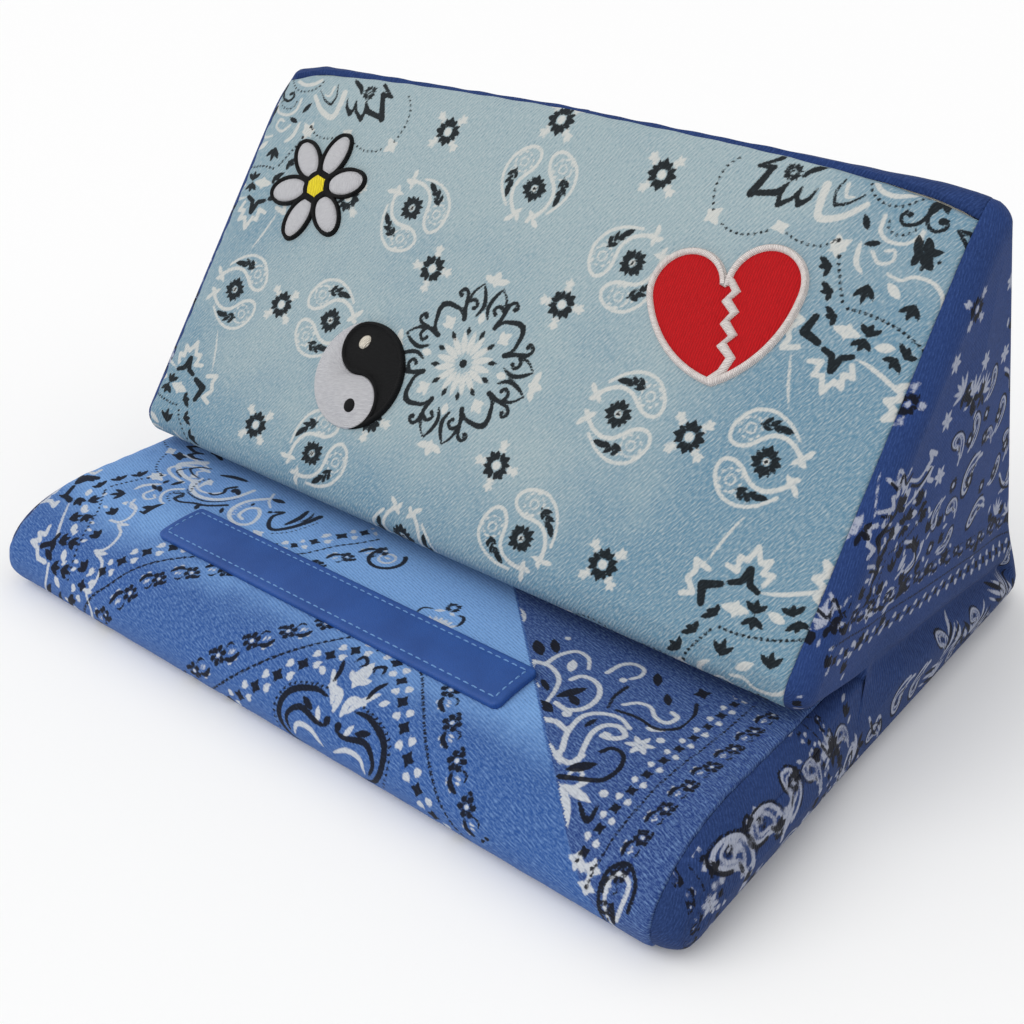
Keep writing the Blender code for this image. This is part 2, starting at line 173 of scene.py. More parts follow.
def end_slump(x, s):
    """How far the soft edges sink towards both ends: bells about the ridge, down, and the nose, back."""
    past = smooth(LENGTH / 2 - 14, LENGTH / 2 + 1, np.abs(x)) ** 1.6
    drop = np.interp(x, [-150, -145, -130, -47, -10, 69, 127, 138, 145, 150],
                     [4.8, 3.2, 0.2, -1.2, -1.9, -1.0, 0.2, 1.2, 2.6, 4])
    return drop * bell(s, FACE_TOP + 5, 13), np.where(x > 0, 0.8, -1.2) * past * bell(s, LEDGE_START - 46, 24)


def lip(s):
    """Share of the end's rounding that is kept: a smooth step down to 0.4 by the groove's inner end."""
    return 1 - 0.6 * smooth(38, 4, np.minimum(s - GROOVE_HIGH, GROOVE_LOW - s))


def lay(x, s, inset=None):
    """Points of the cushion at lengths x and distances s, which are grids of one shape.

    Each comes from the profile drawn in by the end's inset, between the two nearest insets and the two
    nearest places on it. The ridge and the nose then slump, the nose swells and the ledge sags.
    """
    depth = end_inset(x) if inset is None else inset
    depth = depth * lip(s) * (1 - 0.32 * bell(s, LEDGE_START - 50, 30))
    level = np.clip(depth / END_ROUND * (len(INSETS) - 1), 0, len(INSETS) - 1.001)
    low = level.astype(int)
    u = (level - low)[..., None]
    place = np.clip(np.searchsorted(ROUND, s, side="right") - 1, 0, len(ROUND) - 2)
    t = ((s - ROUND[place]) / (ROUND[place + 1] - ROUND[place]))[..., None]
    near = SECTIONS[low, place] * (1 - t) + SECTIONS[low, place + 1] * t
    far = SECTIONS[low + 1, place] * (1 - t) + SECTIONS[low + 1, place + 1] * t
    points = np.concatenate([x[..., None] + 0 * near[..., :1], near * (1 - u) + far * u], -1)
    ridge, nose = end_slump(x, s)
    points[..., 1] += nose + 0.5 * ridge * (x > 0)
    points[..., 2] -= ridge
    swollen = 2.4 * bell(s, LEDGE_START - 53, 17)
    points[..., 1] -= swollen
    sag = 1.3 * smooth(LEDGE_START - 34, LEDGE_START - 14, s) * smooth(150, 110, np.abs(x))
    points[..., 2] = np.maximum(points[..., 2] - 0.35 * swollen - sag, 0)
    return points


def normals(points):
    """Unit normals of a grid of points: the cross product of its slopes in both directions."""
    across = np.gradient(points, axis=0)
    along = np.gradient(points, axis=1)
    normal = np.cross(across, along)
    return normal / np.maximum(np.linalg.norm(normal, axis=2, keepdims=True), 1e-9)


def settle(points, pressure, slack, cap):
    """How far a coarse grid of cloth moves when air pressure puffs it, with its border held still.

    Slack is the share by which the cloth is larger than the grid. Moves inwards are taken out, and long
    ones are cut to the cap. The cloth runs at a tenth of its size in mm, where its settings behave.
    """
    rows, columns = points.shape[:2]
    index = np.arange(rows * columns).reshape(rows, columns)
    faces = np.stack([index[:-1, :-1], index[1:, :-1], index[1:, 1:], index[:-1, 1:]], -1).reshape(-1, 4)
    mesh = bpy.data.meshes.new("settling")
    mesh.from_pydata((points.reshape(-1, 3) * 0.01).tolist(), [], faces.tolist())
    cloth_object = bpy.data.objects.new("settling", mesh)
    bpy.context.scene.collection.objects.link(cloth_object)
    border = cloth_object.vertex_groups.new(name="border")
    rim = np.unique(np.concatenate([index[0], index[-1], index[:, 0], index[:, -1]]))
    border.add(rim.tolist(), 1.0, "REPLACE")
    cloth = cloth_object.modifiers.new("cloth", "CLOTH")
    cloth.settings.quality = 8
    cloth.settings.mass = 0.3
    cloth.settings.tension_stiffness = 25
    cloth.settings.compression_stiffness = 8
    cloth.settings.shear_stiffness = 8
    cloth.settings.bending_stiffness = 2.0
    cloth.settings.vertex_group_mass = "border"
    cloth.settings.use_pressure = True
    cloth.settings.uniform_pressure_force = pressure
    cloth.settings.shrink_min = -slack
    cloth.settings.effector_weights.gravity = 0.0
    scene = bpy.context.scene
    for number in range(1, 25):
        scene.frame_set(number)
    settled = cloth_object.evaluated_get(bpy.context.evaluated_depsgraph_get()).data
    out = np.empty(rows * columns * 3)
    settled.vertices.foreach_get("co", out)
    scene.frame_set(1)
    bpy.data.objects.remove(cloth_object)
    moved = out.reshape(points.shape) * 100 - points
    normal = normals(points)
    moved -= normal * np.minimum((moved * normal).sum(-1, keepdims=True), 0)
    length = np.linalg.norm(moved, axis=2, keepdims=True)
    return moved * np.minimum(1, cap / np.maximum(length, 1e-9))


def refine(coarse, factor):
    """Spread coarse values on factor times the cells: along each axis a cubic through two neighbours,
    with the slope between the ones on either side."""
    fine = coarse
    for axis in (0, 1):
        count = fine.shape[axis]
        place = np.arange((count - 1) * factor + 1) / factor
        low = np.minimum(place.astype(int), count - 2)
        t = (place - low).reshape([-1 if k == axis else 1 for k in range(fine.ndim)])
        before, at, after, beyond = (np.take(fine, np.clip(low + k, 0, count - 1), axis)
                                     for k in (-1, 0, 1, 2))
        slope_in, slope_out = (after - before) / 2, (beyond - at) / 2
        fine = (at * (1 + 2 * t) * (1 - t) ** 2 + after * t * t * (3 - 2 * t)
                + slope_in * t * (1 - t) ** 2 - slope_out * t * t * (1 - t))
    return fine


def add_mesh(name, points, faces, layers, material, stands_for=()):
    """Make a riding object from points in mm, faces and per-point layers (a name and its values)."""
    mesh = bpy.data.meshes.new(name)
    mesh.from_pydata((np.asarray(points).reshape(-1, 3) * 0.001).tolist(), [], faces)
    for label, values in layers.items():
        values = np.asarray(values, np.float32)
        vector = values.ndim == 2
        layer = mesh.attributes.new(label, "FLOAT_VECTOR" if vector else "FLOAT", "POINT")
        layer.data.foreach_set("vector" if vector else "value", values.ravel())
    mesh.materials.append(material)
    mesh.shade_smooth()
    mesh.set_sharp_from_angle(angle=math.radians(50))
    thing = bpy.data.objects.new(name, mesh)
    bpy.context.scene.collection.objects.link(thing)
    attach(thing, "root")
    if stands_for:
        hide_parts(*stands_for)
    return thing


def shell(points, thickness, step):
    """Close a grid into a thin shell: an inner wall on every step-th line, and rims of long polygons."""
    rows, columns = points.shape[:2]
    fine = np.arange(rows * columns).reshape(rows, columns)
    inner = points[::step, ::step] - normals(points)[::step, ::step] * thickness
    coarse = np.arange(inner.shape[0] * inner.shape[1]).reshape(inner.shape[:2]) + rows * columns
    faces = np.stack([fine[:-1, :-1], fine[1:, :-1], fine[1:, 1:], fine[:-1, 1:]], -1)
    faces = faces.reshape(-1, 4).tolist()
    back = np.stack([coarse[:-1, :-1], coarse[:-1, 1:], coarse[1:, 1:], coarse[1:, :-1]], -1)
    faces += back.reshape(-1, 4).tolist()
    for line, wall in ((fine[::-1, 0], coarse[::-1, 0]), (fine[:, -1], coarse[:, -1]),
                       (fine[0], coarse[0]), (fine[-1, ::-1], coarse[-1, ::-1])):
        for k in range(len(wall) - 1):
            faces.append([*line[k * step:(k + 1) * step + 1].tolist(), int(wall[k + 1]), int(wall[k])])
    picked = np.concatenate([fine.ravel(), fine[::step, ::step].ravel()])
    return np.concatenate([points.reshape(-1, 3), inner.reshape(-1, 3)]), faces, picked


# The finish is made of nodes on the cloth coordinates, in mm, that every mesh carries.

def linear(hex_colour):
    """The linear RGBA of an sRGB hex colour, by the sRGB curve."""
    channels = [int(hex_colour[i:i + 2], 16) / 255 for i in (1, 3, 5)]
    return (*[c / 12.92 if c <= 0.04045 else ((c + 0.055) / 1.055) ** 2.4 for c in channels], 1.0)


def add(tree, kind, inputs=(), out=0, **settings):
    """Add a shader node, set it and fill its inputs with values or sockets; gives one of its outputs."""
    made = tree.nodes.new("ShaderNode" + kind)
    for key, value in settings.items():
        setattr(made, key, value)
    for key, value in inputs.items() if isinstance(inputs, dict) else enumerate(inputs):
        if isinstance(value, bpy.types.NodeSocket):
            tree.links.new(value, made.inputs[key])
        else:
            made.inputs[key].default_value = value
    return made.outputs[out]


SOFT = {"interpolation_type": "SMOOTHSTEP"}
COLOUR = {"out": 2, "data_type": "RGBA"}
TIMES, PLUS, MINUS, SINE = ({"operation": name} for name in ("MULTIPLY", "MULTIPLY_ADD", "SUBTRACT", "SINE"))


def denim(name, light, deep, patch, fleck, dark_ink, pale_ink, angle, pitch, flecked):
    """Brushed plush printed like washed denim: two blues in clouds, moved by a layer of tone and painted
    shade, twill ribs and two inks.

    The ribs of a 3/1 twill stand about 1.1 mm apart: a sine across them, bent by noise, lifts each and
    darkens the gap. Noise stretched along the thread breaks them with worn pale flecks. Each ink covers
    the cloth where its distance is negative; noise frays the edge, as a pile does.
    """
    material = bpy.data.materials.new(name)
    material.use_nodes = True
    tree = material.node_tree
    shader = tree.nodes["Principled BSDF"]
    cloth = add(tree, "Attribute", out="Vector", attribute_name="cloth")
    # The tone_and_shade layer pushes the clouds towards the deep blue. It holds each panel's tone, painted
    # shade on the front's foot and the ledge's nose, and from 1.4 up the printed patch.
    tone_and_shade = add(tree, "Attribute", out="Fac", attribute_name="tone_and_shade")
    turned = add(tree, "Mapping", {"Vector": cloth, "Rotation": (0, 0, -angle)})
    streaks = add(tree, "Mapping", {"Vector": turned, "Scale": (0.55, 2.3, 1.0)})
    thread = add(tree, "TexNoise", {"Vector": streaks, "Scale": 1.0, "Detail": 2.5})
    grain = add(tree, "TexNoise", {"Vector": cloth, "Scale": 1.6, "Detail": 3.0})
    clouds = add(tree, "TexNoise", {"Vector": cloth, "Scale": 0.035, "Detail": 4.0})
    smudges = add(tree, "TexNoise", {"Vector": cloth, "Scale": 0.16, "Detail": 3.0})
    bend = add(tree, "TexNoise", {"Vector": cloth, "Scale": 0.16, "Detail": 2.0})
    across = add(tree, "SeparateXYZ", (turned,), 1)
    phase = add(tree, "Math", (bend, 5.0, add(tree, "Math", (across, 2 * math.pi / pitch), **TIMES)), **PLUS)
    rib = add(tree, "MapRange", (add(tree, "Math", (phase,), **SINE), -1.0, 1.0), **SOFT)

    share = add(tree, "Math", (smudges, 0.25, add(tree, "Math", (clouds, 0.7, tone_and_shade), **PLUS)), **PLUS)
    share = add(tree, "MapRange", (share, 0.3, 1.15), **SOFT)
    base = add(tree, "Mix", {0: share, 6: linear(light), 7: linear(deep)}, **COLOUR)
    patched = add(tree, "MapRange", (tone_and_shade, 1.4, 2.4), **SOFT)
    base = add(tree, "Mix", {0: patched, 6: base, 7: linear(patch)}, **COLOUR)
    worn = add(tree, "Math", (add(tree, "MapRange", (thread, 0.4, 0.66), **SOFT),
                              add(tree, "MapRange", (rib, 0.0, 1.0, 0.45, 0.75), **SOFT)), **TIMES)
    worn = add(tree, "Math", (worn, flecked), **TIMES)
    base = add(tree, "Mix", {0: worn, 6: base, 7: linear(fleck)}, **COLOUR)
    fuzz = add(tree, "MapRange", (grain, 0.46, 0.62, 0.0, 0.16), **SOFT)
    base = add(tree, "Mix", {0: fuzz, 6: base, 7: linear(fleck)}, **COLOUR)
    gap = add(tree, "Math", (rib, -1.0, 1.0), **PLUS)
    gap = add(tree, "Math", (add(tree, "MapRange", (thread, 0.5, 0.3), **SOFT), 1.0, gap), **PLUS)
    groove = add(tree, "Math", (gap, add(tree, "MapRange", (grain, 0.35, 0.65, 0.08, 0.3), **SOFT)), **TIMES)
    shadow = add(tree, "Mix", {0: 0.4, 6: linear(deep), 7: (0.02, 0.04, 0.1, 1)}, **COLOUR)
    base = add(tree, "Mix", {0: groove, 6: base, 7: shadow}, **COLOUR)

    fray = add(tree, "Math", (add(tree, "Math", (grain, 0.5), **MINUS), 0.9), **TIMES)
    pale = add(tree, "Attribute", out="Fac", attribute_name="ink_pale")
    pale = add(tree, "MapRange", (add(tree, "Math", (pale, 1.0, fray), **PLUS), 0.3, -0.3), **SOFT)
    cover = add(tree, "MapRange", (thread, 0.25, 0.6, 0.62, 0.92), **SOFT)
    pale = add(tree, "Math", (pale, cover), **TIMES)
    base = add(tree, "Mix", {0: pale, 6: base, 7: linear(pale_ink)}, **COLOUR)
    dark = add(tree, "Attribute", out="Fac", attribute_name="ink_dark")
    dark = add(tree, "MapRange", (add(tree, "Math", (dark, 1.0, fray), **PLUS), 0.22, -0.22, 0.0, 0.97),
               **SOFT)
    rubbed = add(tree, "MapRange", (thread, 0.5, 0.9, 0.0, 0.12), **SOFT)
    ink = add(tree, "Mix", {0: rubbed, 6: linear(dark_ink), 7: linear(deep)}, **COLOUR)
    base = add(tree, "Mix", {0: dark, 6: base, 7: ink}, **COLOUR)
    tree.links.new(base, shader.inputs["Base Color"])

    height = add(tree, "Math", (rib, 0.6, thread), **PLUS)
    bump = add(tree, "Bump", {"Strength": 0.4, "Distance": 0.0004, "Height": height})
    tree.links.new(bump, shader.inputs["Normal"])
    rough = add(tree, "MapRange", (grain, 0.2, 0.8, 0.82, 0.95), **SOFT)
    tree.links.new(rough, shader.inputs["Roughness"])
    shader.inputs["Specular IOR Level"].default_value = 0.15
    shader.inputs["Sheen Weight"].default_value = 0.04
    shader.inputs["Sheen Roughness"].default_value = 0.5
    return material


# The print is drawn by functions that take points in their own millimetres and give signed distances
# in mm, negative inside a shape. A printed shape has one for the dark ink and one for the pale ink.

def rope(points, count=8):
    """A smooth line through points: Catmull-Rom samples between each two."""
    p = np.array(points, float)
    p = np.vstack([2 * p[0] - p[1], p, 2 * p[-1] - p[-2]])
    out = []
    for a, b, c, d in zip(p, p[1:], p[2:], p[3:]):
        t = np.linspace(0, 1, count, endpoint=False)[:, None]
        out.append(b + 0.5 * t * (c - a + t * (2 * a - 5 * b + 4 * c - d + t * (3 * (b - c) + d - a))))
    return np.vstack(out + [p[-2][None]])


def segment(x, y, a, b):
    """Share along a segment of each point's nearest place on it, and the distance from there."""
    dx, dy = b[0] - a[0], b[1] - a[1]
    t = np.clip(((x - a[0]) * dx + (y - a[1]) * dy) / max(dx * dx + dy * dy, 1e-9), 0, 1)
    return t, np.hypot(x - a[0] - t * dx, y - a[1] - t * dy)


def leaf(x, y, a, b, width):
    """A leaf from a to b: the distance to the segment less a half width that rises and falls as t (1 - t)."""
    t, d = segment(x, y, a, b)
    return d - width * 4 * t * (1 - t)


def stroke(x, y, points, start, end):
    """A line through points: the distance to it less a half width that goes evenly from start to end."""
    spans = np.linalg.norm(np.diff(points, axis=0), axis=1)
    marks = np.concatenate([[0], np.cumsum(spans)]) / spans.sum()
    best = np.full(x.shape, 99.0)
    for k in range(len(points) - 1):
        t, d = segment(x, y, points[k], points[k + 1])
        along = marks[k] + t * (marks[k + 1] - marks[k])
        best = np.minimum(best, d - (start + (end - start) * along))
    return best


def swell(x, y, points, width):
    """A line through points, pointed at both ends: its half width follows half an ellipse along it."""
    spans = np.linalg.norm(np.diff(points, axis=0), axis=1)
    marks = np.concatenate([[0], np.cumsum(spans)]) / spans.sum()
    best = np.full(x.shape, 99.0)
    for k in range(len(points) - 1):
        t, d = segment(x, y, points[k], points[k + 1])
        along = marks[k] + t * (marks[k + 1] - marks[k])
        best = np.minimum(best, d - width * np.sqrt(np.maximum(4 * along * (1 - along), 0)))
    return best


def dots(x, y, points, pitch, radius):
    """Dots along a line through points, drawn coarser than the real ones so that the mesh shows them."""
    pitch, radius = pitch * 1.6, radius * 1.4
    best = np.full(x.shape, 99.0)
    spans = np.linalg.norm(np.diff(points, axis=0), axis=1)
    marks = np.concatenate([[0], np.cumsum(spans)])
    for s in np.arange(pitch / 2, marks[-1], pitch):
        px, py = (np.interp(s, marks, np.array(points)[:, k]) for k in (0, 1))
        best = np.minimum(best, np.hypot(x - px, y - py) - radius)
    return best


def disc(x, y, centre, radius):
    """A round spot: the distance to its centre less its radius."""
    return np.hypot(x - centre[0], y - centre[1]) - radius


def join(*shapes):
    """The union of several shapes: the least of their distances."""
    best = shapes[0]
    for shape in shapes[1:]:
        best = np.minimum(best, shape)
    return best


def folded(x, y):
    """Fold a point into one of eight mirrored sectors, with the first value the larger."""
    a, b = np.abs(x), np.abs(y)
    return np.maximum(a, b), np.minimum(a, b)


DIAGONAL = 0.7071


def floret(x, y, size=1.0, eyed=False):
    """Square floret: four three-lobed leaves round a hollow, on the diagonals; gives dark and pale."""
    x, y = x / size, y / size
    p, q = np.abs(x), np.abs(y)
    along, across = (p + q) * DIAGONAL, np.abs(p - q) * DIAGONAL
    hollow = 1.6 if eyed else 1.9
    dark = join(leaf(along, across, (hollow - 1.1, 0), (5.9, 0), 1.25),
                leaf(along, across, (hollow - 0.6, 0.4), (4.7, 2.8), 0.9))
    dark = np.maximum(dark, hollow - np.hypot(x, y))
    if eyed:
        dark = np.minimum(dark, np.hypot(x, y) - 0.75)
    return dark * size, (np.hypot(x, y) - hollow + 0.35) * size


def fleurs(x, y):
    """Four small pale fleurs on the axes of a floret."""
    a, b = folded(x, y)
    return join(leaf(a, b, (4.6, 0), (9.6, 0), 1.0), leaf(a, b, (6.2, 0), (8.6, 2.0), 0.6),
                leaf(a, b, (4.4, 0.4), (6.0, 1.6), 0.5))


def plain_floret(x, y):
    """A floret with its four fleurs."""
    dark, pale = floret(x, y)
    return dark, join(pale, fleurs(x, y))


def turned_floret(x, y):
    """The same floret turned an eighth of a circle."""
    return plain_floret((x - y) * DIAGONAL, (x + y) * DIAGONAL)


PAISLEY = rope([(9, -7.6), (12.5, -3.6), (14.5, 0.4), (15.2, 4.4), (14, 9.4), (10.5, 12.9), (6.5, 14.4),
                (3.2, 13.4), (2.3, 10.4), (3.5, 6.9), (5.7, 4.4), (7.9, 1.4), (8.5, -2.6), (7, -6.6),
                (4.5, -9.6)], 5)


def paisley_pair(x, y):
    """Floret between two mirrored paisleys whose lacy heads point to +y, with a dark fern in each."""
    dark, pale = floret((x - y) * DIAGONAL, (x + y) * DIAGONAL, 0.93, True)
    p = np.abs(x)
    fern = join(leaf(p, y, (10.3, 5.8), (9.3, 1.7), 0.75), leaf(p, y, (10.5, 5.4), (13.6, 2.7), 0.85),
                leaf(p, y, (10.7, 3.4), (13.4, -0.4), 0.8), leaf(p, y, (11.3, 1.0), (10.3, -5.3), 1.15),
                leaf(p, y, (11.0, 2.0), (9.4, -1.2), 0.7), stroke(p, y, [(10.4, 6.2), (11.2, 0)], 0.35, 0.35))
    heel = join(leaf(p, y, (1.3, -7.4), (5.2, -11.2), 0.9), leaf(p, y, (3.2, -9.2), (1.8, -12.8), 0.9),
                leaf(p, y, (3.6, -10.4), (7.6, -13.4), 1.0), leaf(p, y, (3.4, -10.4), (6.2, -8.4), 0.8))
    ring = np.hypot(p - 8.4, y - 8.6)
    lace = join(np.abs(ring - 3.6) - 0.25 - 0.25 * np.cos(9 * np.arctan2(y - 8.6, p - 8.4)),
                np.abs(ring - 1.6) - 0.35, dots(p, y, [(11.6, 8.0), (12.6, 4.6)], 1.3, 0.4))
    return join(dark, fern), join(pale, stroke(p, y, PAISLEY, 0.55, 0.75), heel, lace)


def medallion(x, y):
    """Round medallion: petals, twelve diamonds, and a wreath of pointed leaves and square arches."""
    r, angle = np.hypot(x, y), np.arctan2(y, x)
    a, b = folded(x, y)
    wreath = join(
        swell(a, b, rope([(16.5, 2.9), (20.7, 1.1), (24.7, 1.9), (28.8, 4.3)]), 0.85),
        stroke(a, b, rope([(28.8, 4.3), (25.2, 7.2), (20.2, 8.4), (15.0, 6.9)]), 0.35, 1.05),
        stroke(a, b, rope([(21.2, 8.2), (22.6, 5.6), (21.0, 3.7), (19.4, 4.6)]), 0.8, 0.6),
        disc(a, b, (19.5, 4.9), 0.9),
        stroke(a, b, rope([(20.7, 8.6), (24.2, 9.5), (25.3, 11.6), (23.6, 13.1), (22.5, 12.0)]), 0.8, 0.6),
        disc(a, b, (22.9, 11.9), 0.95),
        stroke(a, b, rope([(14.8, 6.7), (17.7, 9.6), (18.4, 12.6), (18.7, 15.6), (17.9, 17.9)]), 0.5, 1.15))
    turn = np.mod(angle, math.pi / 6) - math.pi / 12
    diamond = np.abs(r - 11.8) / 2.35 + np.abs(r * np.sin(turn)) / 1.05
    dark = join(wreath, (diamond - 1) * 0.9, r - 1.6)
    step = np.mod(angle + math.pi / 16, math.pi / 8) - math.pi / 16
    petal = leaf(r * np.cos(step), r * np.sin(step), (3.0, 0), (12.2, 0), 1.2)
    along, across = (a + b) * DIAGONAL, (a - b) * DIAGONAL
    spray = join(leaf(along, across, (14.2, 0), (21.0, 0), 1.4),
                 leaf(along, across, (15.5, 0), (18.6, 2.9), 0.9), leaf(a, b, (14.6, 0), (19.2, 0), 1.4),
                 leaf(a, b, (28.2, 0), (34.6, 0), 1.7), leaf(a, b, (30.0, 0), (31.8, 5.6), 1.3))
    return dark, join(np.maximum(petal, 2.6 - r), spray)


def tulip(x, y, apex, left, right):
    """Dark tulip: three lobes from its apex to its two sides and its middle."""
    middle = np.array([(left[0] + right[0]) / 2 - apex[0], (left[1] + right[1]) / 2 - apex[1]])
    tip = np.array(apex) + middle * 1.35
    root = np.array(apex) + middle * 0.1
    return join(leaf(x, y, root, left, 0.95), leaf(x, y, root, right, 0.95), leaf(x, y, apex, tip, 1.0),
                disc(x, y, np.array(apex) + middle * 0.3, 1.15))


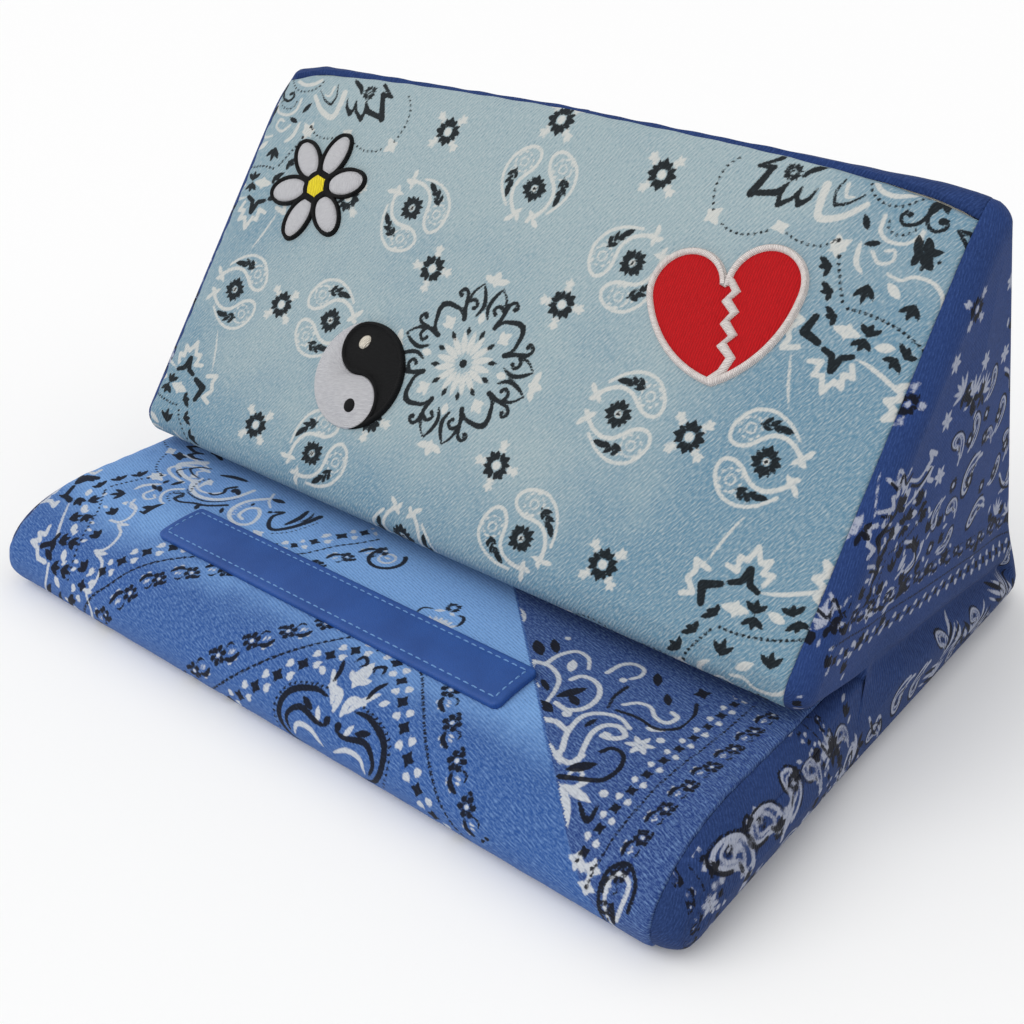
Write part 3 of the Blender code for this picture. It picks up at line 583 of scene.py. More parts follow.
def corner_ornament(x, y):
    """Corner of the bandana, in distances from its centre: lotus, scallops, scrolls and tulips."""
    lotus = join(
        stroke(x, y, [(86, 92.2), (79, 87.7)], 0.8, 0.5), stroke(x, y, [(79, 87.7), (84.5, 88.3)], 0.6, 0.9),
        stroke(x, y, [(84, 88), (81.3, 82), (79.8, 78.8)], 1.1, 1.4),
        stroke(x, y, [(79.8, 79), (88, 80.6)], 0.9, 1.2), stroke(x, y, [(88.4, 81), (91, 84.4)], 1.1, 0.3),
        stroke(x, y, [(90.8, 84.2), (89.6, 80.2), (90, 77)], 0.5, 0.9),
        stroke(x, y, [(90, 77), (94, 79.8), (96, 84)], 1.0, 0.4),
        stroke(x, y, [(95.8, 83.6), (95.4, 80.6), (96.6, 78.4)], 0.5, 0.9),
        stroke(x, y, [(96.6, 78.4), (99.4, 80.6), (101, 84.6)], 1.1, 0.3),
        swell(x, y, rope([(94.8, 86.4), (96.4, 89.2), (101.6, 92.2)]), 1.0),
        floret(x - 91, y - 88, 0.62, True)[0])
    arches = join(
        dots(x, y, rope([(72.2, 89.9), (68.2, 85.4), (67.2, 79.4), (68.2, 74.4), (69.5, 71.4)]), 1.35, 0.42),
        dots(x, y, rope([(73.5, 67.9), (77.2, 66.1), (82.2, 65.6), (87.2, 66.9), (91.7, 69.4)]), 1.3, 0.42),
        dots(x, y, rope([(95.7, 69.4), (100.2, 67.6), (106.2, 66.9), (110.2, 67.9), (112.7, 69.9)]), 1.3,
             0.42),
        dots(x, y, rope([(116.5, 89.9), (118.2, 86.4), (122.2, 84.2), (126.2, 83.7), (130.2, 84.9),
                         (133.2, 87.4), (135.7, 90.4)]), 1.25, 0.42),
        dots(x, y, rope([(126.4, 79.9), (127, 76.9), (129.7, 75.4), (133.2, 76.2), (135.4, 78.2)]), 1.2, 0.4),
        dots(x, y, [(116, 63.9), (123, 50.7)], 1.25, 0.45),
        dots(x, y, rope([(123.6, 50.6), (129.2, 50.6), (136.2, 49.6), (143.2, 47.7), (151, 44.2)]), 1.2,
             0.45),
        stroke(x, y, rope([(108.5, 88.9), (107, 84.4), (108, 80.4)]), 0.35, 0.6),
        stroke(x, y, rope([(108, 80.4), (112.2, 81.9), (116.4, 85.4)]), 0.6, 0.3))
    scroll = join(
        leaf(x, y, (136.6, 82), (139.6, 92), 1.6), leaf(x, y, (138.6, 92), (142.2, 84.6), 1.5),
        stroke(x, y, rope([(138.4, 88), (136.6, 82.4), (134.4, 79.6), (131, 78.9), (129.3, 81),
                           (130.6, 83)]), 0.7, 0.6), disc(x, y, (131.8, 82.2), 1.0),
        stroke(x, y, rope([(136.8, 84), (138, 80), (140.8, 78.7), (143.4, 80.4), (143, 82.6)]), 0.6, 0.6),
        disc(x, y, (141.6, 82.2), 1.3),
        leaf(x, y, (118.2, 79.9), (121.4, 74.7), 1.1), leaf(x, y, (121.4, 70.7), (127, 72.1), 1.0),
        disc(x, y, (113.6, 70.2), 0.8), disc(x, y, (115.7, 65.4), 0.8),
        stroke(x, y, [(146.8, 80.6), (152.4, 81)], 0.5, 0.9),
        stroke(x, y, [(147.4, 80), (152.4, 75.6)], 0.5, 0.9),
        leaf(x, y, (136.4, 77), (139.2, 69.2), 1.5), leaf(x, y, (139.4, 77), (142, 70.6), 1.6),
        leaf(x, y, (138.6, 70.6), (145.8, 73.4), 1.4), leaf(x, y, (138.6, 72), (144.6, 67), 1.7),
        leaf(x, y, (139.2, 72.4), (137.8, 67), 1.4), disc(x, y, (141, 67), 0.7), disc(x, y, (145.4, 70), 0.7))
    columns = join(
        tulip(x, y, (127.7, 59.4), (124.2, 54.4), (131.2, 54.4)),
        tulip(x, y, (143.4, 56.6), (139.2, 53), (146.2, 51.8)),
        tulip(x, y, (114.7, 62), (109.6, 64.4), (113.3, 58.2)),
        tulip(x, y, (118, 54.6), (113.2, 57), (117, 51)),
        tulip(x, y, (122.2, 47.4), (117.4, 50), (121.4, 44.2)),
        tulip(x, y, (133.6, 44), (130, 47.6), (137.4, 46.8)),
        tulip(x, y, (133, 43.2), (129, 40.2), (136.2, 39.6)),
        tulip(x, y, (146.8, 40.4), (143.4, 44.8), (150, 41.6)),
        tulip(x, y, (144.2, 39.8), (140, 38.8), (146.8, 35.6)),
        stroke(x, y, [(116, 46), (114.2, 40.8)], 1.2, 1.5), stroke(x, y, [(114.2, 40.8), (119.8, 38.6)], 1.5,
                                                                   1.1),
        stroke(x, y, [(122.2, 37.2), (125.4, 35.9), (126.9, 31.6)], 0.9, 1.3),
        stroke(x, y, [(131.6, 37.1), (128.4, 35.9), (126.9, 31.6)], 0.9, 1.3))
    spikes = [(119.4, 32.6), (123.2, 33.4), (122.2, 29), (125, 29.4), (126.7, 24.4), (129, 28.8), (132, 27.2),
              (130.8, 31.4), (134.2, 31), (132.4, 34.6)]
    side_spikes = [(108.8, 45.4), (112.4, 44), (109, 40.4), (110.6, 37.6), (109.4, 34.4), (114.4, 35.8)]
    edge_spikes = [(151.6, 34), (148.2, 32.4), (149.8, 29), (145.8, 27.4), (149.2, 25.4), (147.2, 22),
                   (152.4, 24.4)]
    pale = join(
        stroke(x, y, spikes, 0.85, 0.85), stroke(x, y, side_spikes, 0.9, 0.9),
        stroke(x, y, edge_spikes, 0.95, 0.95),
        swell(x, y, rope([(132, 37), (138, 35.4), (145, 32.4), (152, 28.6)]), 0.7),
        swell(x, y, rope([(112.8, 34), (116, 24), (119, 17)]), 0.5),
        leaf(x, y, (122, 44.4), (131.8, 43.4), 1.7), leaf(x, y, (136.6, 41.4), (143, 42.6), 1.5),
        leaf(x, y, (126.9, 41), (127.2, 47), 1.2),
        stroke(x, y, rope([(103.4, 86), (103.4, 80), (105, 75.6), (112, 77.6), (118, 82.6)]), 1.4, 0.9),
        stroke(x, y, rope([(109.8, 87.6), (110.6, 83.8), (113.2, 84)]), 0.7, 0.4),
        stroke(x, y, rope([(118.2, 89.6), (121, 87.4), (126, 86.8), (131, 88.6)]), 0.8, 0.8),
        stroke(x, y, rope([(124.6, 80.4), (125, 75.6), (128.6, 73), (134.4, 73.6), (137.8, 78)]), 0.7, 0.5),
        stroke(x, y, rope([(125, 69), (128.2, 66), (132, 67.4), (131.4, 70.6), (128.8, 70)]), 0.6, 0.5),
        swell(x, y, rope([(120.4, 71.6), (121.4, 65), (124.8, 61.6)]), 0.9),
        stroke(x, y, rope([(132, 63.4), (136.4, 62.4), (140, 64.2), (145.6, 63.8), (149.6, 61), (151.4, 57)]),
               0.5, 0.7),
        leaf(x, y, (133, 61), (138.6, 56.8), 1.4), leaf(x, y, (111, 69.4), (117.4, 67.4), 1.8),
        leaf(x, y, (113, 72.6), (115, 64.4), 1.5), leaf(x, y, (111.4, 66), (118, 71.4), 1.4),
        leaf(x, y, (67.6, 67), (72.6, 72.6), 1.6), leaf(x, y, (67.4, 71.6), (73, 66.6), 1.5),
        leaf(x, y, (92, 72.6), (95.6, 68.4), 1.4), leaf(x, y, (90.6, 69.4), (96.8, 71.6), 1.3),
        leaf(x, y, (136.8, 79.4), (138.2, 73.4), 0.7))
    return join(lotus, arches, scroll, columns), pale


def press(layers, where, shapes):
    """Add a dark and a pale shape, each worked out at the chosen places only, to the two ink layers."""
    for layer, shape in zip(layers, shapes):
        layer[where] = np.minimum(layer[where], shape)


def stamp(layers, x, y, drawing, centre=(0, 0), turn=0.0, radius=None):
    """Press a drawing on the cloth at a centre, turned anticlockwise, within a radius of it."""
    cosine, sine = math.cos(turn), math.sin(turn)
    dx, dy = x - centre[0], y - centre[1]
    near = np.ones(x.shape, bool) if radius is None else np.hypot(dx, dy) < radius
    press(layers, near, drawing(dx[near] * cosine + dy[near] * sine, dy[near] * cosine - dx[near] * sine))


def bandana(x, y):
    """The bandana square's print round its centre: everything is mirrored across both axes."""
    layers = np.full(x.shape, 9.0), np.full(x.shape, 9.0)
    a, b = np.abs(x), np.abs(y)
    stamp(layers, a, b, medallion, radius=37)
    for centre in ((46.6, 79), (91.8, 0), (80.4, 46.4), (0, 90)):
        stamp(layers, a, b, turned_floret, centre, radius=12)
    stamp(layers, a, b, plain_floret, (29, 29), radius=12)
    for centre, turn in (((0, 65.4), 0), ((48.8, 48.5), 135), ((65.2, 0), -90), ((118.6, 0), 90)):
        stamp(layers, a, b, paisley_pair, centre, math.radians(turn), 22)
    far = (a > 62) & (a + 0.6 * b > 100)
    press(layers, far, corner_ornament(a[far], b[far]))
    return layers


def top_seam(x):
    """Distance of the top seam along the profile: the face's top less a dip that grows as a power of x."""
    return FACE_TOP + 4.2 - 8.2 * (np.abs(x + 8) / 152) ** 3.2


def panel_grid(cells, cell_rows, start, end):
    """Even grids of length, from seam to seam, and of distance along the profile, from start to end."""
    across = np.linspace(0, 1, cells + 1)[:, None]
    share = np.linspace(0, 1, cell_rows + 1)[None]
    s = start * (1 - share) + end * share + 0 * across
    return seam_x(s) * across - seam_x(s, -1) * (1 - across), s


def puffed(x, s, pressure, slack, cap, step):
    """Points of a panel, moved as its cloth settles; every step-th line is simulated and the rest follow."""
    points = lay(x, s)
    return points + refine(settle(points[::step, ::step], pressure, slack, cap), step)


def hem(points, x, s, depth, width):
    """Turn a panel's four edges down into the seams by a smooth step, with small puckers that die away."""
    away = np.minimum(np.minimum(seam_x(s) - x, x + seam_x(s, -1)), np.minimum(s - s[:, :1], s[:, -1:] - s))
    pucker = np.sin(s * 0.71 + 2.1 * np.sin(x * 0.053)) * np.sin(x * 0.37 + 1.7 * np.sin(s * 0.041))
    dip = depth * (1 - smooth(0, width, away)) + 0.22 * pucker * np.exp(-away / 7)
    return points - normals(points) * dip[..., None]


FRONT_CELLS, FRONT_ROWS = 368, 248
ends = np.linspace(-SEAM_LEFT, SEAM_RIGHT, FRONT_CELLS + 1)[:, None]
x, s = panel_grid(FRONT_CELLS, FRONT_ROWS, GROOVE_HIGH + 0.3, top_seam(ends))
front = puffed(x, s, 0.8, 0.004, 1.0, 4)
front = hem(front, x, s, 1.5, 1.6)
turn = math.radians(0.45)
px, py = x + 6.8, s - 69.3
dark, pale = bandana(px * math.cos(turn) + py * math.sin(turn), py * math.cos(turn) - px * math.sin(turn))
# Tone and painted shade of the front: darker towards the foot and down into the groove, as painted shade of
# the groove; darker also towards both ends and over the lower right, and a little darker below the upper
# face.
tone_and_shade = (0.6 * smooth(60, 140, x) + 0.3 * smooth(-90, -145, x) + 0.5 * smooth(50, 0, s) - 0.12
        + 0.4 * smooth(20, 110, x) * smooth(140, 20, s) + 0.16 * smooth(140, 100, s))


def panel(name, grid, cloth, dark, pale, tone_and_shade, material, stands_for):
    """Make a cover panel of cloth from its grid, its flat cloth coordinates and its print."""
    points, faces, picked = shell(grid, 1.4, 4)
    layers = {"ink_dark": dark.ravel()[picked], "ink_pale": pale.ravel()[picked],
              "tone_and_shade": tone_and_shade.ravel()[picked],
              "cloth": np.stack([*cloth, 0 * cloth[0]], -1).reshape(-1, 3)[picked]}
    made = add_mesh(name, points, faces, layers, material, stands_for)
    return made


light_denim = denim("light_washed_denim", "#99ACB0", "#5E859B", "#5E859B", "#B2BBBD", "#0F1215", "#C6C6C1",
                    math.radians(60), 1.2, 0.8)
panel("front_cloth", front, (x, s), dark, pale, tone_and_shade, light_denim, ["front_panel"])

# Ledge panel
# Brighter denim plush over the nose and the ledge, printed with a darker patch at the right end that
# starts on a slanting line. Borders of dashes, stars, tulips and flowers run across it.

def star(x, y, size):
    """Four-pointed star: two crossed leaves and a spot."""
    u, v = (x + y) * DIAGONAL, (x - y) * DIAGONAL
    return join(leaf(u, v, (-size, 0), (size, 0), size * 0.42),
                leaf(u, v, (0, -size), (0, size), size * 0.42), np.hypot(x, y) - size * 0.4)


def blossom(x, y, size=1.0):
    """Dark flower of six round petals with a pale eye; gives dark and pale."""
    r, angle = np.hypot(x, y) / size, np.arctan2(y, x)
    step = np.mod(angle + math.pi / 6, math.pi / 3) - math.pi / 6
    petal = np.hypot(r * np.cos(step) - 2.7, r * np.sin(step)) - 1.15
    return np.maximum(np.minimum(petal, r - 1.9), 1.1 - r) * size, (r - 0.85) * size


def follow(x, y, path):
    """Distance along a line and to its left, for points near it."""
    path = np.array(path, float)
    marks = np.concatenate([[0], np.cumsum(np.linalg.norm(np.diff(path, axis=0), axis=1))])
    along, aside, best = np.zeros(x.shape), np.full(x.shape, 99.0), np.full(x.shape, 99.0)
    for k in range(len(path) - 1):
        t, d = segment(x, y, path[k], path[k + 1])
        dx, dy = (path[k + 1] - path[k]) / (marks[k + 1] - marks[k])
        left = (y - path[k][1]) * dx - (x - path[k][0]) * dy
        closer = d < best
        best = np.where(closer, d, best)
        along = np.where(closer, marks[k] + t * (marks[k + 1] - marks[k]), along)
        aside = np.where(closer, np.where(left < 0, -d, d), aside)
    inside = (along > 0.01) & (along < marks[-1] - 0.01)
    return along, np.where(inside, aside, 99.0)


def border(x, y, path, size=1.0):
    """Border along a line: dashes on it, stars between tulip pairs on its right, a vine on its left."""
    t, n = follow(x, y, path)
    t, n = t / size, n / size
    dash = np.mod(t, 2.5) - 1.25
    u = np.mod(t, 9.0) - 4.5
    dark = join(np.maximum(np.abs(n) - 0.5 - 0.15 * np.cos(t * 5), np.abs(dash) - 0.95),
                star(u, n + 6.4, 2.6))
    v = np.mod(t + 4.5, 9.0) - 4.5
    pale = join(disc(v, n, (0.4, -4.0), 1.15), disc(v, n, (-0.4, -8.8), 1.15),
                leaf(v, n, (-1.6, -4.4), (1.8, -5.2), 0.7), leaf(v, n, (-1.6, -7.6), (1.8, -8.4), 0.7))
    q = np.mod(t + 3, 13.2) - 6.6
    flower, eye = blossom(q + 2.6, n - 8.6, 0.88)
    leaves = join(swell(q, n, rope([(-0.2, 6.6), (2.6, 5.2), (6.2, 6.4)]), 0.9),
                  leaf(q, n, (-6.6, 10.2), (-4.4, 11.6), 0.7), swell(q, n, rope([(0.4, 9.6), (2.6, 10.8),
                                                                               (4.4, 9.6)]), 0.45))
    ghost = join(leaf(q, n, (1.4, 7.2), (3.2, 8.8), 0.4), leaf(q, n, (2.8, 6.9), (4.6, 8.2), 0.4),
                 leaf(q, n, (0.6, 4.6), (2.6, 4.0), 0.4), leaf(q, n, (3.2, 4.8), (5.2, 4.6), 0.4))
    return join(dark, flower, leaves) * size, join(pale, eye, ghost) * size


LEDGE_CELLS, LEDGE_ROWS = 384, 228
x, s = panel_grid(LEDGE_CELLS, LEDGE_ROWS, NOSE_BOTTOM + 0.3, GROOVE_LOW - 0.3)
ledge = puffed(x, s, 0.8, 0.004, 0.4, 4)
ledge = hem(ledge, x, s, 1.5, 1.6)
w = s - LEDGE_START + NOSE_CROWN[0]


def past_patch_edge(x, w):
    """Distance past the slanting line on which the darker cloth at the right end starts."""
    return (x - 42) * 0.695 + (w + 47) * 0.719


def ledge_print(x, w):
    """The ledge's print: two arched borders, a palmette between big paisleys, and the patch."""
    layers = np.full(x.shape, 9.0), np.full(x.shape, 9.0)
    in_patch = past_patch_edge(x, w) > 0
    first = rope([(-22, -46), (-26, -53), (-31, -60), (-37, -72), (-48, -82), (-62, -92), (-70, -98),
                  (-78, -105), (-84, -112), (-89, -119), (-95, -125), (-106, -140)], 4)
    second = rope([(-42, -147), (-28, -133), (-10, -117), (0, -107.5), (12, -95), (26, -86), (41, -94),
                   (50, -103), (60, -114), (70, -124), (84, -138)], 4)
    third = rope([(132, -46), (131, -70), (129, -90), (127, -115), (124, -140)], 4)
    bright = ~in_patch
    for path, size, where in ((first, 1.0, bright & (x < 0)), (second, 1.0, bright), (third, 0.78, in_patch)):
        press(layers, where, [shape[where] for shape in border(x, w, path, size)])

    def palmette(u, v):
        p = np.abs(u)
        dark = join(swell(p, v, rope([(7.2, -5), (7.8, -0.5), (9.8, 3.4)]), 0.9),
                    swell(p, v, rope([(3.2, 3.4), (1.8, 5.8), (4.6, 7.6), (6.0, 4.0)]), 0.7),
                    swell(p, v, rope([(5.4, -9.4), (12, -9), (20.6, -13), (22.6, -20), (19, -27), (13, -30)]),
                          1.15),
                    swell(p, v, rope([(1.2, -16.4), (6, -17.2), (14.4, -15.6), (19, -20), (17, -26)]), 1.0),
                    leaf(p, v, (9.0, -14.8), (15.2, -12.4), 1.1), disc(p, v, (2.4, -15.2), 1.4),
                    dots(p, v, rope([(7, -7), (14, -8), (22, -11.6), (25, -19), (23, -27)]), 1.3, 0.4))
        pale = join(leaf(p, v, (0, -4), (0, 7.5), 2.4), leaf(p, v, (0.4, -2), (4.6, 1.4), 1.2),
                    swell(p, v, rope([(1.6, -12.6), (2.6, -7), (8.4, -6.2)]), 1.3),
                    swell(p, v, rope([(3.0, -11), (6.6, -5.6), (10.4, -1)]), 1.1),
                    leaf(p, v, (8, -12.6), (5.4, -17.4), 1.0), leaf(p, v, (12, -4.5), (15, -2), 1.1),
                    swell(p, v, rope([(2, -24), (8, -20.4), (14, -21), (15.6, -26)]), 0.9))
        return dark, pale

    stamp(layers, x, w, palmette, (26.5, -107), 0, 40)

    def fan(u, v):
        petals = join(*[leaf(u, v, (0.5 * k, -6.4), (2.3 * k, 0.6 - 0.28 * k * k), 0.75) for k in range(-3,
                                                                                                        4)])
        dark, _ = floret(u - 0.6, v - 6.6, 0.55)
        arc = rope([(3.6, 3.4), (6.4, 2.6), (7.0, -0.6), (6.0, -3.4)])
        return join(dark, swell(u, v, arc, 0.7), swell(u, v, arc * [-1.3, 1], 0.5)), join(
            petals, leaf(u, v, (-4.6, 2.6), (-1, 4), 0.8), leaf(u, v, (0.6, 3.8), (3.2, 2.2), 0.7))

    stamp(layers, x, w, fan, (28.7, -69.6), 0.25, 13)
    left = (x < -103) & (w > -89)
    a = 0.669 * (x[left] + 250) - 0.743 * (w[left] + 28.5)
    b = 0.743 * (x[left] + 250) + 0.669 * (w[left] + 28.5)
    press(layers, left, corner_ornament(a, b))

    def bud(u, v):
        return tulip(u, v, (-2.4, 0), (1.6, -2.6), (1.6, 2.6)), leaf(u, v, (3.0, 1.0), (5.6, 2.4), 0.7)

    for centre, turn in (((-127.6, -93.6), 1.0), ((-115.6, -94.2), 2.7), ((-132, -97.4), -0.6),
                         ((-126.4, -104), 0.9),
                         ((-122, -102), -0.5), ((-110.6, -106), 2.7), ((-122, -113.4), 0.7),
                         ((-117, -112.8), 0.2),
                         ((-105.4, -118), 2.7), ((-119, -123), 0.3), ((-113.4, -122.4), 0.1)):
        stamp(layers, x, w, bud, centre, turn, 7)
    nose = x < -90
    lotus = join(
        stroke(x, w, [(-145.4, -86.4), (-142.6, -90.6), (-141, -87), (-138.6, -86)], 1.2, 0.7),
        stroke(x, w, [(-142, -92.6), (-140.2, -98), (-136, -99)], 0.8, 1.3),
        leaf(x, w, (-143.4, -99), (-136, -98.4), 0.9),
        stroke(x, w, [(-130.6, -118.6), (-126.6, -116.4), (-126, -112.6)], 1.2, 0.9),
        leaf(x, w, (-128, -119), (-122, -121.4), 1.4), leaf(x, w, (-127, -114), (-124, -119), 1.3),
        dots(x, w, rope([(-129.6, -87), (-123.2, -94), (-118, -103), (-114, -112), (-111, -120),
                         (-110, -126)]),
             1.3, 0.42), leaf(x, w, (-120, -129), (-127, -138), 1.2),
        leaf(x, w, (-106, -128), (-113, -138), 1.4), leaf(x, w, (-114, -130), (-120, -139), 0.9))
    spikes = join(
        stroke(x, w, [(-147.4, -95), (-146, -98.6), (-148.4, -101), (-146, -101.4), (-147.6, -104.4),
                      (-143.4, -102.6), (-139.6, -104.2), (-140, -102)], 0.8, 0.9),
        stroke(x, w, [(-133.2, -111.6), (-132, -114.8), (-135.8, -115.2), (-133, -117.4), (-137, -118.8),
                      (-132.4, -120), (-130, -123), (-125.4, -123)], 0.8, 0.9),
        stroke(x, w, rope([(-135, -100.4), (-130.6, -107), (-126.2, -113.6)]), 0.4, 0.7),
        stroke(x, w, rope([(-123, -123), (-123, -128), (-127, -136)]), 0.7, 0.4),
        *[leaf(x, w, (u - 1.6, v + 2), (u + 1.6, v - 2), 1.4) for u, v in
          ((-133.4, -92), (-127, -99), (-122, -108), (-117.4, -118), (-116.4, -127.4))])
    press(layers, nose, (lotus[nose], spikes[nose]))
    vine = join(
        stroke(x, w, rope([(-114, -86.5), (-109, -88), (-106.5, -93), (-108, -97), (-112, -98)]), 0.6, 0.6),
        stroke(x, w, rope([(-107, -98), (-102, -101), (-100.5, -106), (-102, -110), (-105, -111.5)]), 0.6,
               0.6),
        stroke(x, w, rope([(-104, -112), (-98, -114), (-96, -120), (-98, -124), (-101, -124.5)]), 0.6, 0.6),
        stroke(x, w, rope([(-99, -125), (-96, -131), (-99, -137)]), 0.6, 0.6),
        leaf(x, w, (-108, -98), (-102.5, -96), 0.8), leaf(x, w, (-104, -112), (-98.5, -110.4), 0.8),
        leaf(x, w, (-101, -125), (-95.5, -124), 0.8))
    layers[1][bright] = np.minimum(layers[1][bright], vine[bright])

    def head(u, v):
        around = np.linspace(-3.9, 0.8, 22)
        return (stroke(u, v, 6.5 * np.stack([np.cos(around), np.sin(around)], 1), 0.7, 0.9),
                join(np.abs(np.hypot(u, v) - 3.0) - 0.5, leaf(u, v, (-1.4, 0), (1.4, 0.4), 0.6)))

    stamp(layers, x, w, head, (-11, -54.5), 0, 11)
    haloes = join(
        stroke(x, w, rope([(-111, -64), (-119, -63), (-124, -60.5), (-122.6, -56), (-117, -52.4),
                           (-110, -52)]), 0.7, 0.7),
        stroke(x, w, rope([(-109, -60), (-105, -65), (-98, -67.2), (-91, -65), (-86.4, -59), (-85, -51)]),
               1.0, 0.9),
        stroke(x, w, rope([(-108, -57), (-106, -61.6), (-101, -64), (-96, -63), (-93.4, -60)]), 0.6, 0.5),
        stroke(x, w, rope([(-76, -52), (-80.4, -58), (-80.6, -65), (-77, -70), (-71, -72), (-66.8, -69),
                           (-68.6, -63), (-73, -59.4), (-76, -62), (-75, -67), (-71.6, -68.4)]), 0.9, 0.7),
        stroke(x, w, rope([(-77, -48), (-74, -53), (-70, -56)]), 0.6, 0.5),
        stroke(x, w, rope([(-131, -50), (-122, -49), (-113, -50)]), 0.6, 0.5),
        leaf(x, w, (-105.6, -57), (-100.6, -58.6), 1.1), leaf(x, w, (-103.6, -60.4), (-102.6, -55.4), 1.0),
        leaf(x, w, (-114.4, -57.6), (-109.6, -58.4), 1.0), leaf(x, w, (-112.4, -60), (-111.6, -56), 0.9),
        leaf(x, w, (-62.6, -71), (-56.4, -72.4), 1.3), leaf(x, w, (-60.6, -73), (-58, -69.6), 1.1),
        dots(x, w, rope([(-78.4, -58), (-79, -64), (-76.4, -68.6)]), 1.2, 0.3))
    hooks = join(
        stroke(x, w, rope([(-96.6, -63.2), (-94, -62.8), (-92.6, -59.6), (-94.2, -56.6), (-92.4, -53.4)]),
               0.5, 0.9),
        disc(x, w, (-90.4, -55.6), 1.7), leaf(x, w, (-91, -54), (-86.4, -57.4), 1.2),
        swell(x, w, rope([(-105, -51), (-99, -48.6), (-92, -47.6)]), 1.1),
        stroke(x, w, rope([(-119, -56), (-120.4, -59.6), (-115, -61.8)]), 0.45, 0.4),
        stroke(x, w, rope([(-66, -57), (-63.4, -55.4), (-64.4, -60), (-61, -65), (-57, -66.4), (-53.6, -62),
                           (-51.6, -56), (-50.6, -49)]), 0.7, 1.2),
        swell(x, w, rope([(-57.4, -48), (-55.8, -55), (-56.4, -62)]), 1.2), disc(x, w, (-67.6, -58.4), 1.0),
        swell(x, w, rope([(-54.6, -48), (-53, -52), (-53.4, -57)]), 0.6),
        dots(x, w, rope([(-48, -52), (-49.4, -59), (-52, -65), (-56, -69)]), 1.1, 0.35),
        stroke(x, w, rope([(-106.6, -71.6), (-104, -69.6), (-102.4, -71.8), (-104, -74), (-100, -74.6),
                           (-95, -72), (-89.6, -70), (-84, -65)]), 0.5, 0.8),
        leaf(x, w, (-93, -71), (-90.6, -75), 1.1), leaf(x, w, (-84, -67), (-81, -71), 0.9),
        swell(x, w, rope([(-108, -64), (-103, -68), (-94, -68.6), (-88, -64.6), (-84, -58)]), 0.45),
        leaf(x, w, (-116.6, -66), (-116.4, -70), 0.9), leaf(x, w, (-119, -72.6), (-114, -74.6), 0.9),
        leaf(x, w, (-132, -49), (-126, -53.6), 1.6), leaf(x, w, (-132.6, -52.6), (-125.6, -50), 1.3),
        leaf(x, w, (-75, -51), (-68, -50), 1.3), leaf(x, w, (-77.4, -57), (-76.6, -60), 0.7))
    press(layers, bright, (hooks[bright], haloes[bright]))

    lines = join(
        stroke(x, w, rope([(98, -96), (95.5, -90), (95, -82), (98.5, -77.5), (104, -75.8), (109, -78)]), 0.9,
               0.7),
        stroke(x, w, rope([(104.5, -97), (102.6, -91), (101.5, -86), (102.5, -81.5), (106, -79.3),
                           (109.8, -81.5), (108, -84.5), (104.5, -85.5)]), 0.8, 0.9),
        stroke(x, w, rope([(98, -96), (99, -99), (103, -99), (104.5, -95)]), 0.9, 0.9),
        stroke(x, w, rope([(66, -70), (72, -68.5), (78, -71.5), (81, -77), (82.5, -83)]), 0.9, 0.6),
        stroke(x, w, rope([(67, -69), (70, -75), (76, -79)]), 0.5, 0.5),
        stroke(x, w, rope([(70.5, -68), (71, -62), (74, -57), (79, -57.5), (82.5, -62)]), 0.8, 0.6),
        stroke(x, w, rope([(81.5, -70), (83, -66.5), (87, -65.8), (91, -68), (93.5, -73), (93, -79),
                           (89.5, -82.5), (85, -82)]), 0.8, 0.9),
        stroke(x, w, rope([(88, -60), (89, -54), (92, -51), (96, -51.5), (97, -55), (95.5, -58)]), 0.8, 0.6),
        stroke(x, w, rope([(101, -70), (104, -66.5), (108, -65.8), (112, -69), (116, -69), (117, -65),
                           (114.5, -64)]), 0.6, 0.8),
        stroke(x, w, rope([(86, -90), (90, -88.6), (95, -89.8)]), 1.1, 0.8),
        swell(x, w, rope([(86.5, -91), (89, -95), (96, -98), (101, -101)]), 0.9),
        leaf(x, w, (103, -106), (114, -116), 2.4), leaf(x, w, (105, -106), (116, -107), 1.5),
        stroke(x, w, rope([(105, -104), (105.6, -100.6), (108, -100), (109, -102.4)]), 0.5, 0.6),
        leaf(x, w, (112, -100), (108, -107), 0.9), leaf(x, w, (116, -74), (112, -74.6), 1.0),
        leaf(x, w, (118, -72), (113, -75), 0.9), leaf(x, w, (76, -61), (79, -67), 1.6),
        leaf(x, w, (104, -83.6), (107, -86), 1.6), disc(x, w, (90.6, -84), 1.5),
        disc(x, w, (117.4, -102.8), 1.3),
        disc(x, w, (119, -77), 1.3), disc(x, w, (94, -60), 1.2), disc(x, w, (45, -51.4), 1.8),
        leaf(x, w, (44, -49), (51, -55), 1.6), disc(x, w, (67.6, -53), 1.0),
        *[leaf(x, w, (115.6, -82.4), (115.6 + 4.6 * math.cos(k * math.pi / 3 + 0.4),
                                      -82.4 + 4.6 * math.sin(k * math.pi / 3 + 0.4)), 0.9) for k in range(6)])
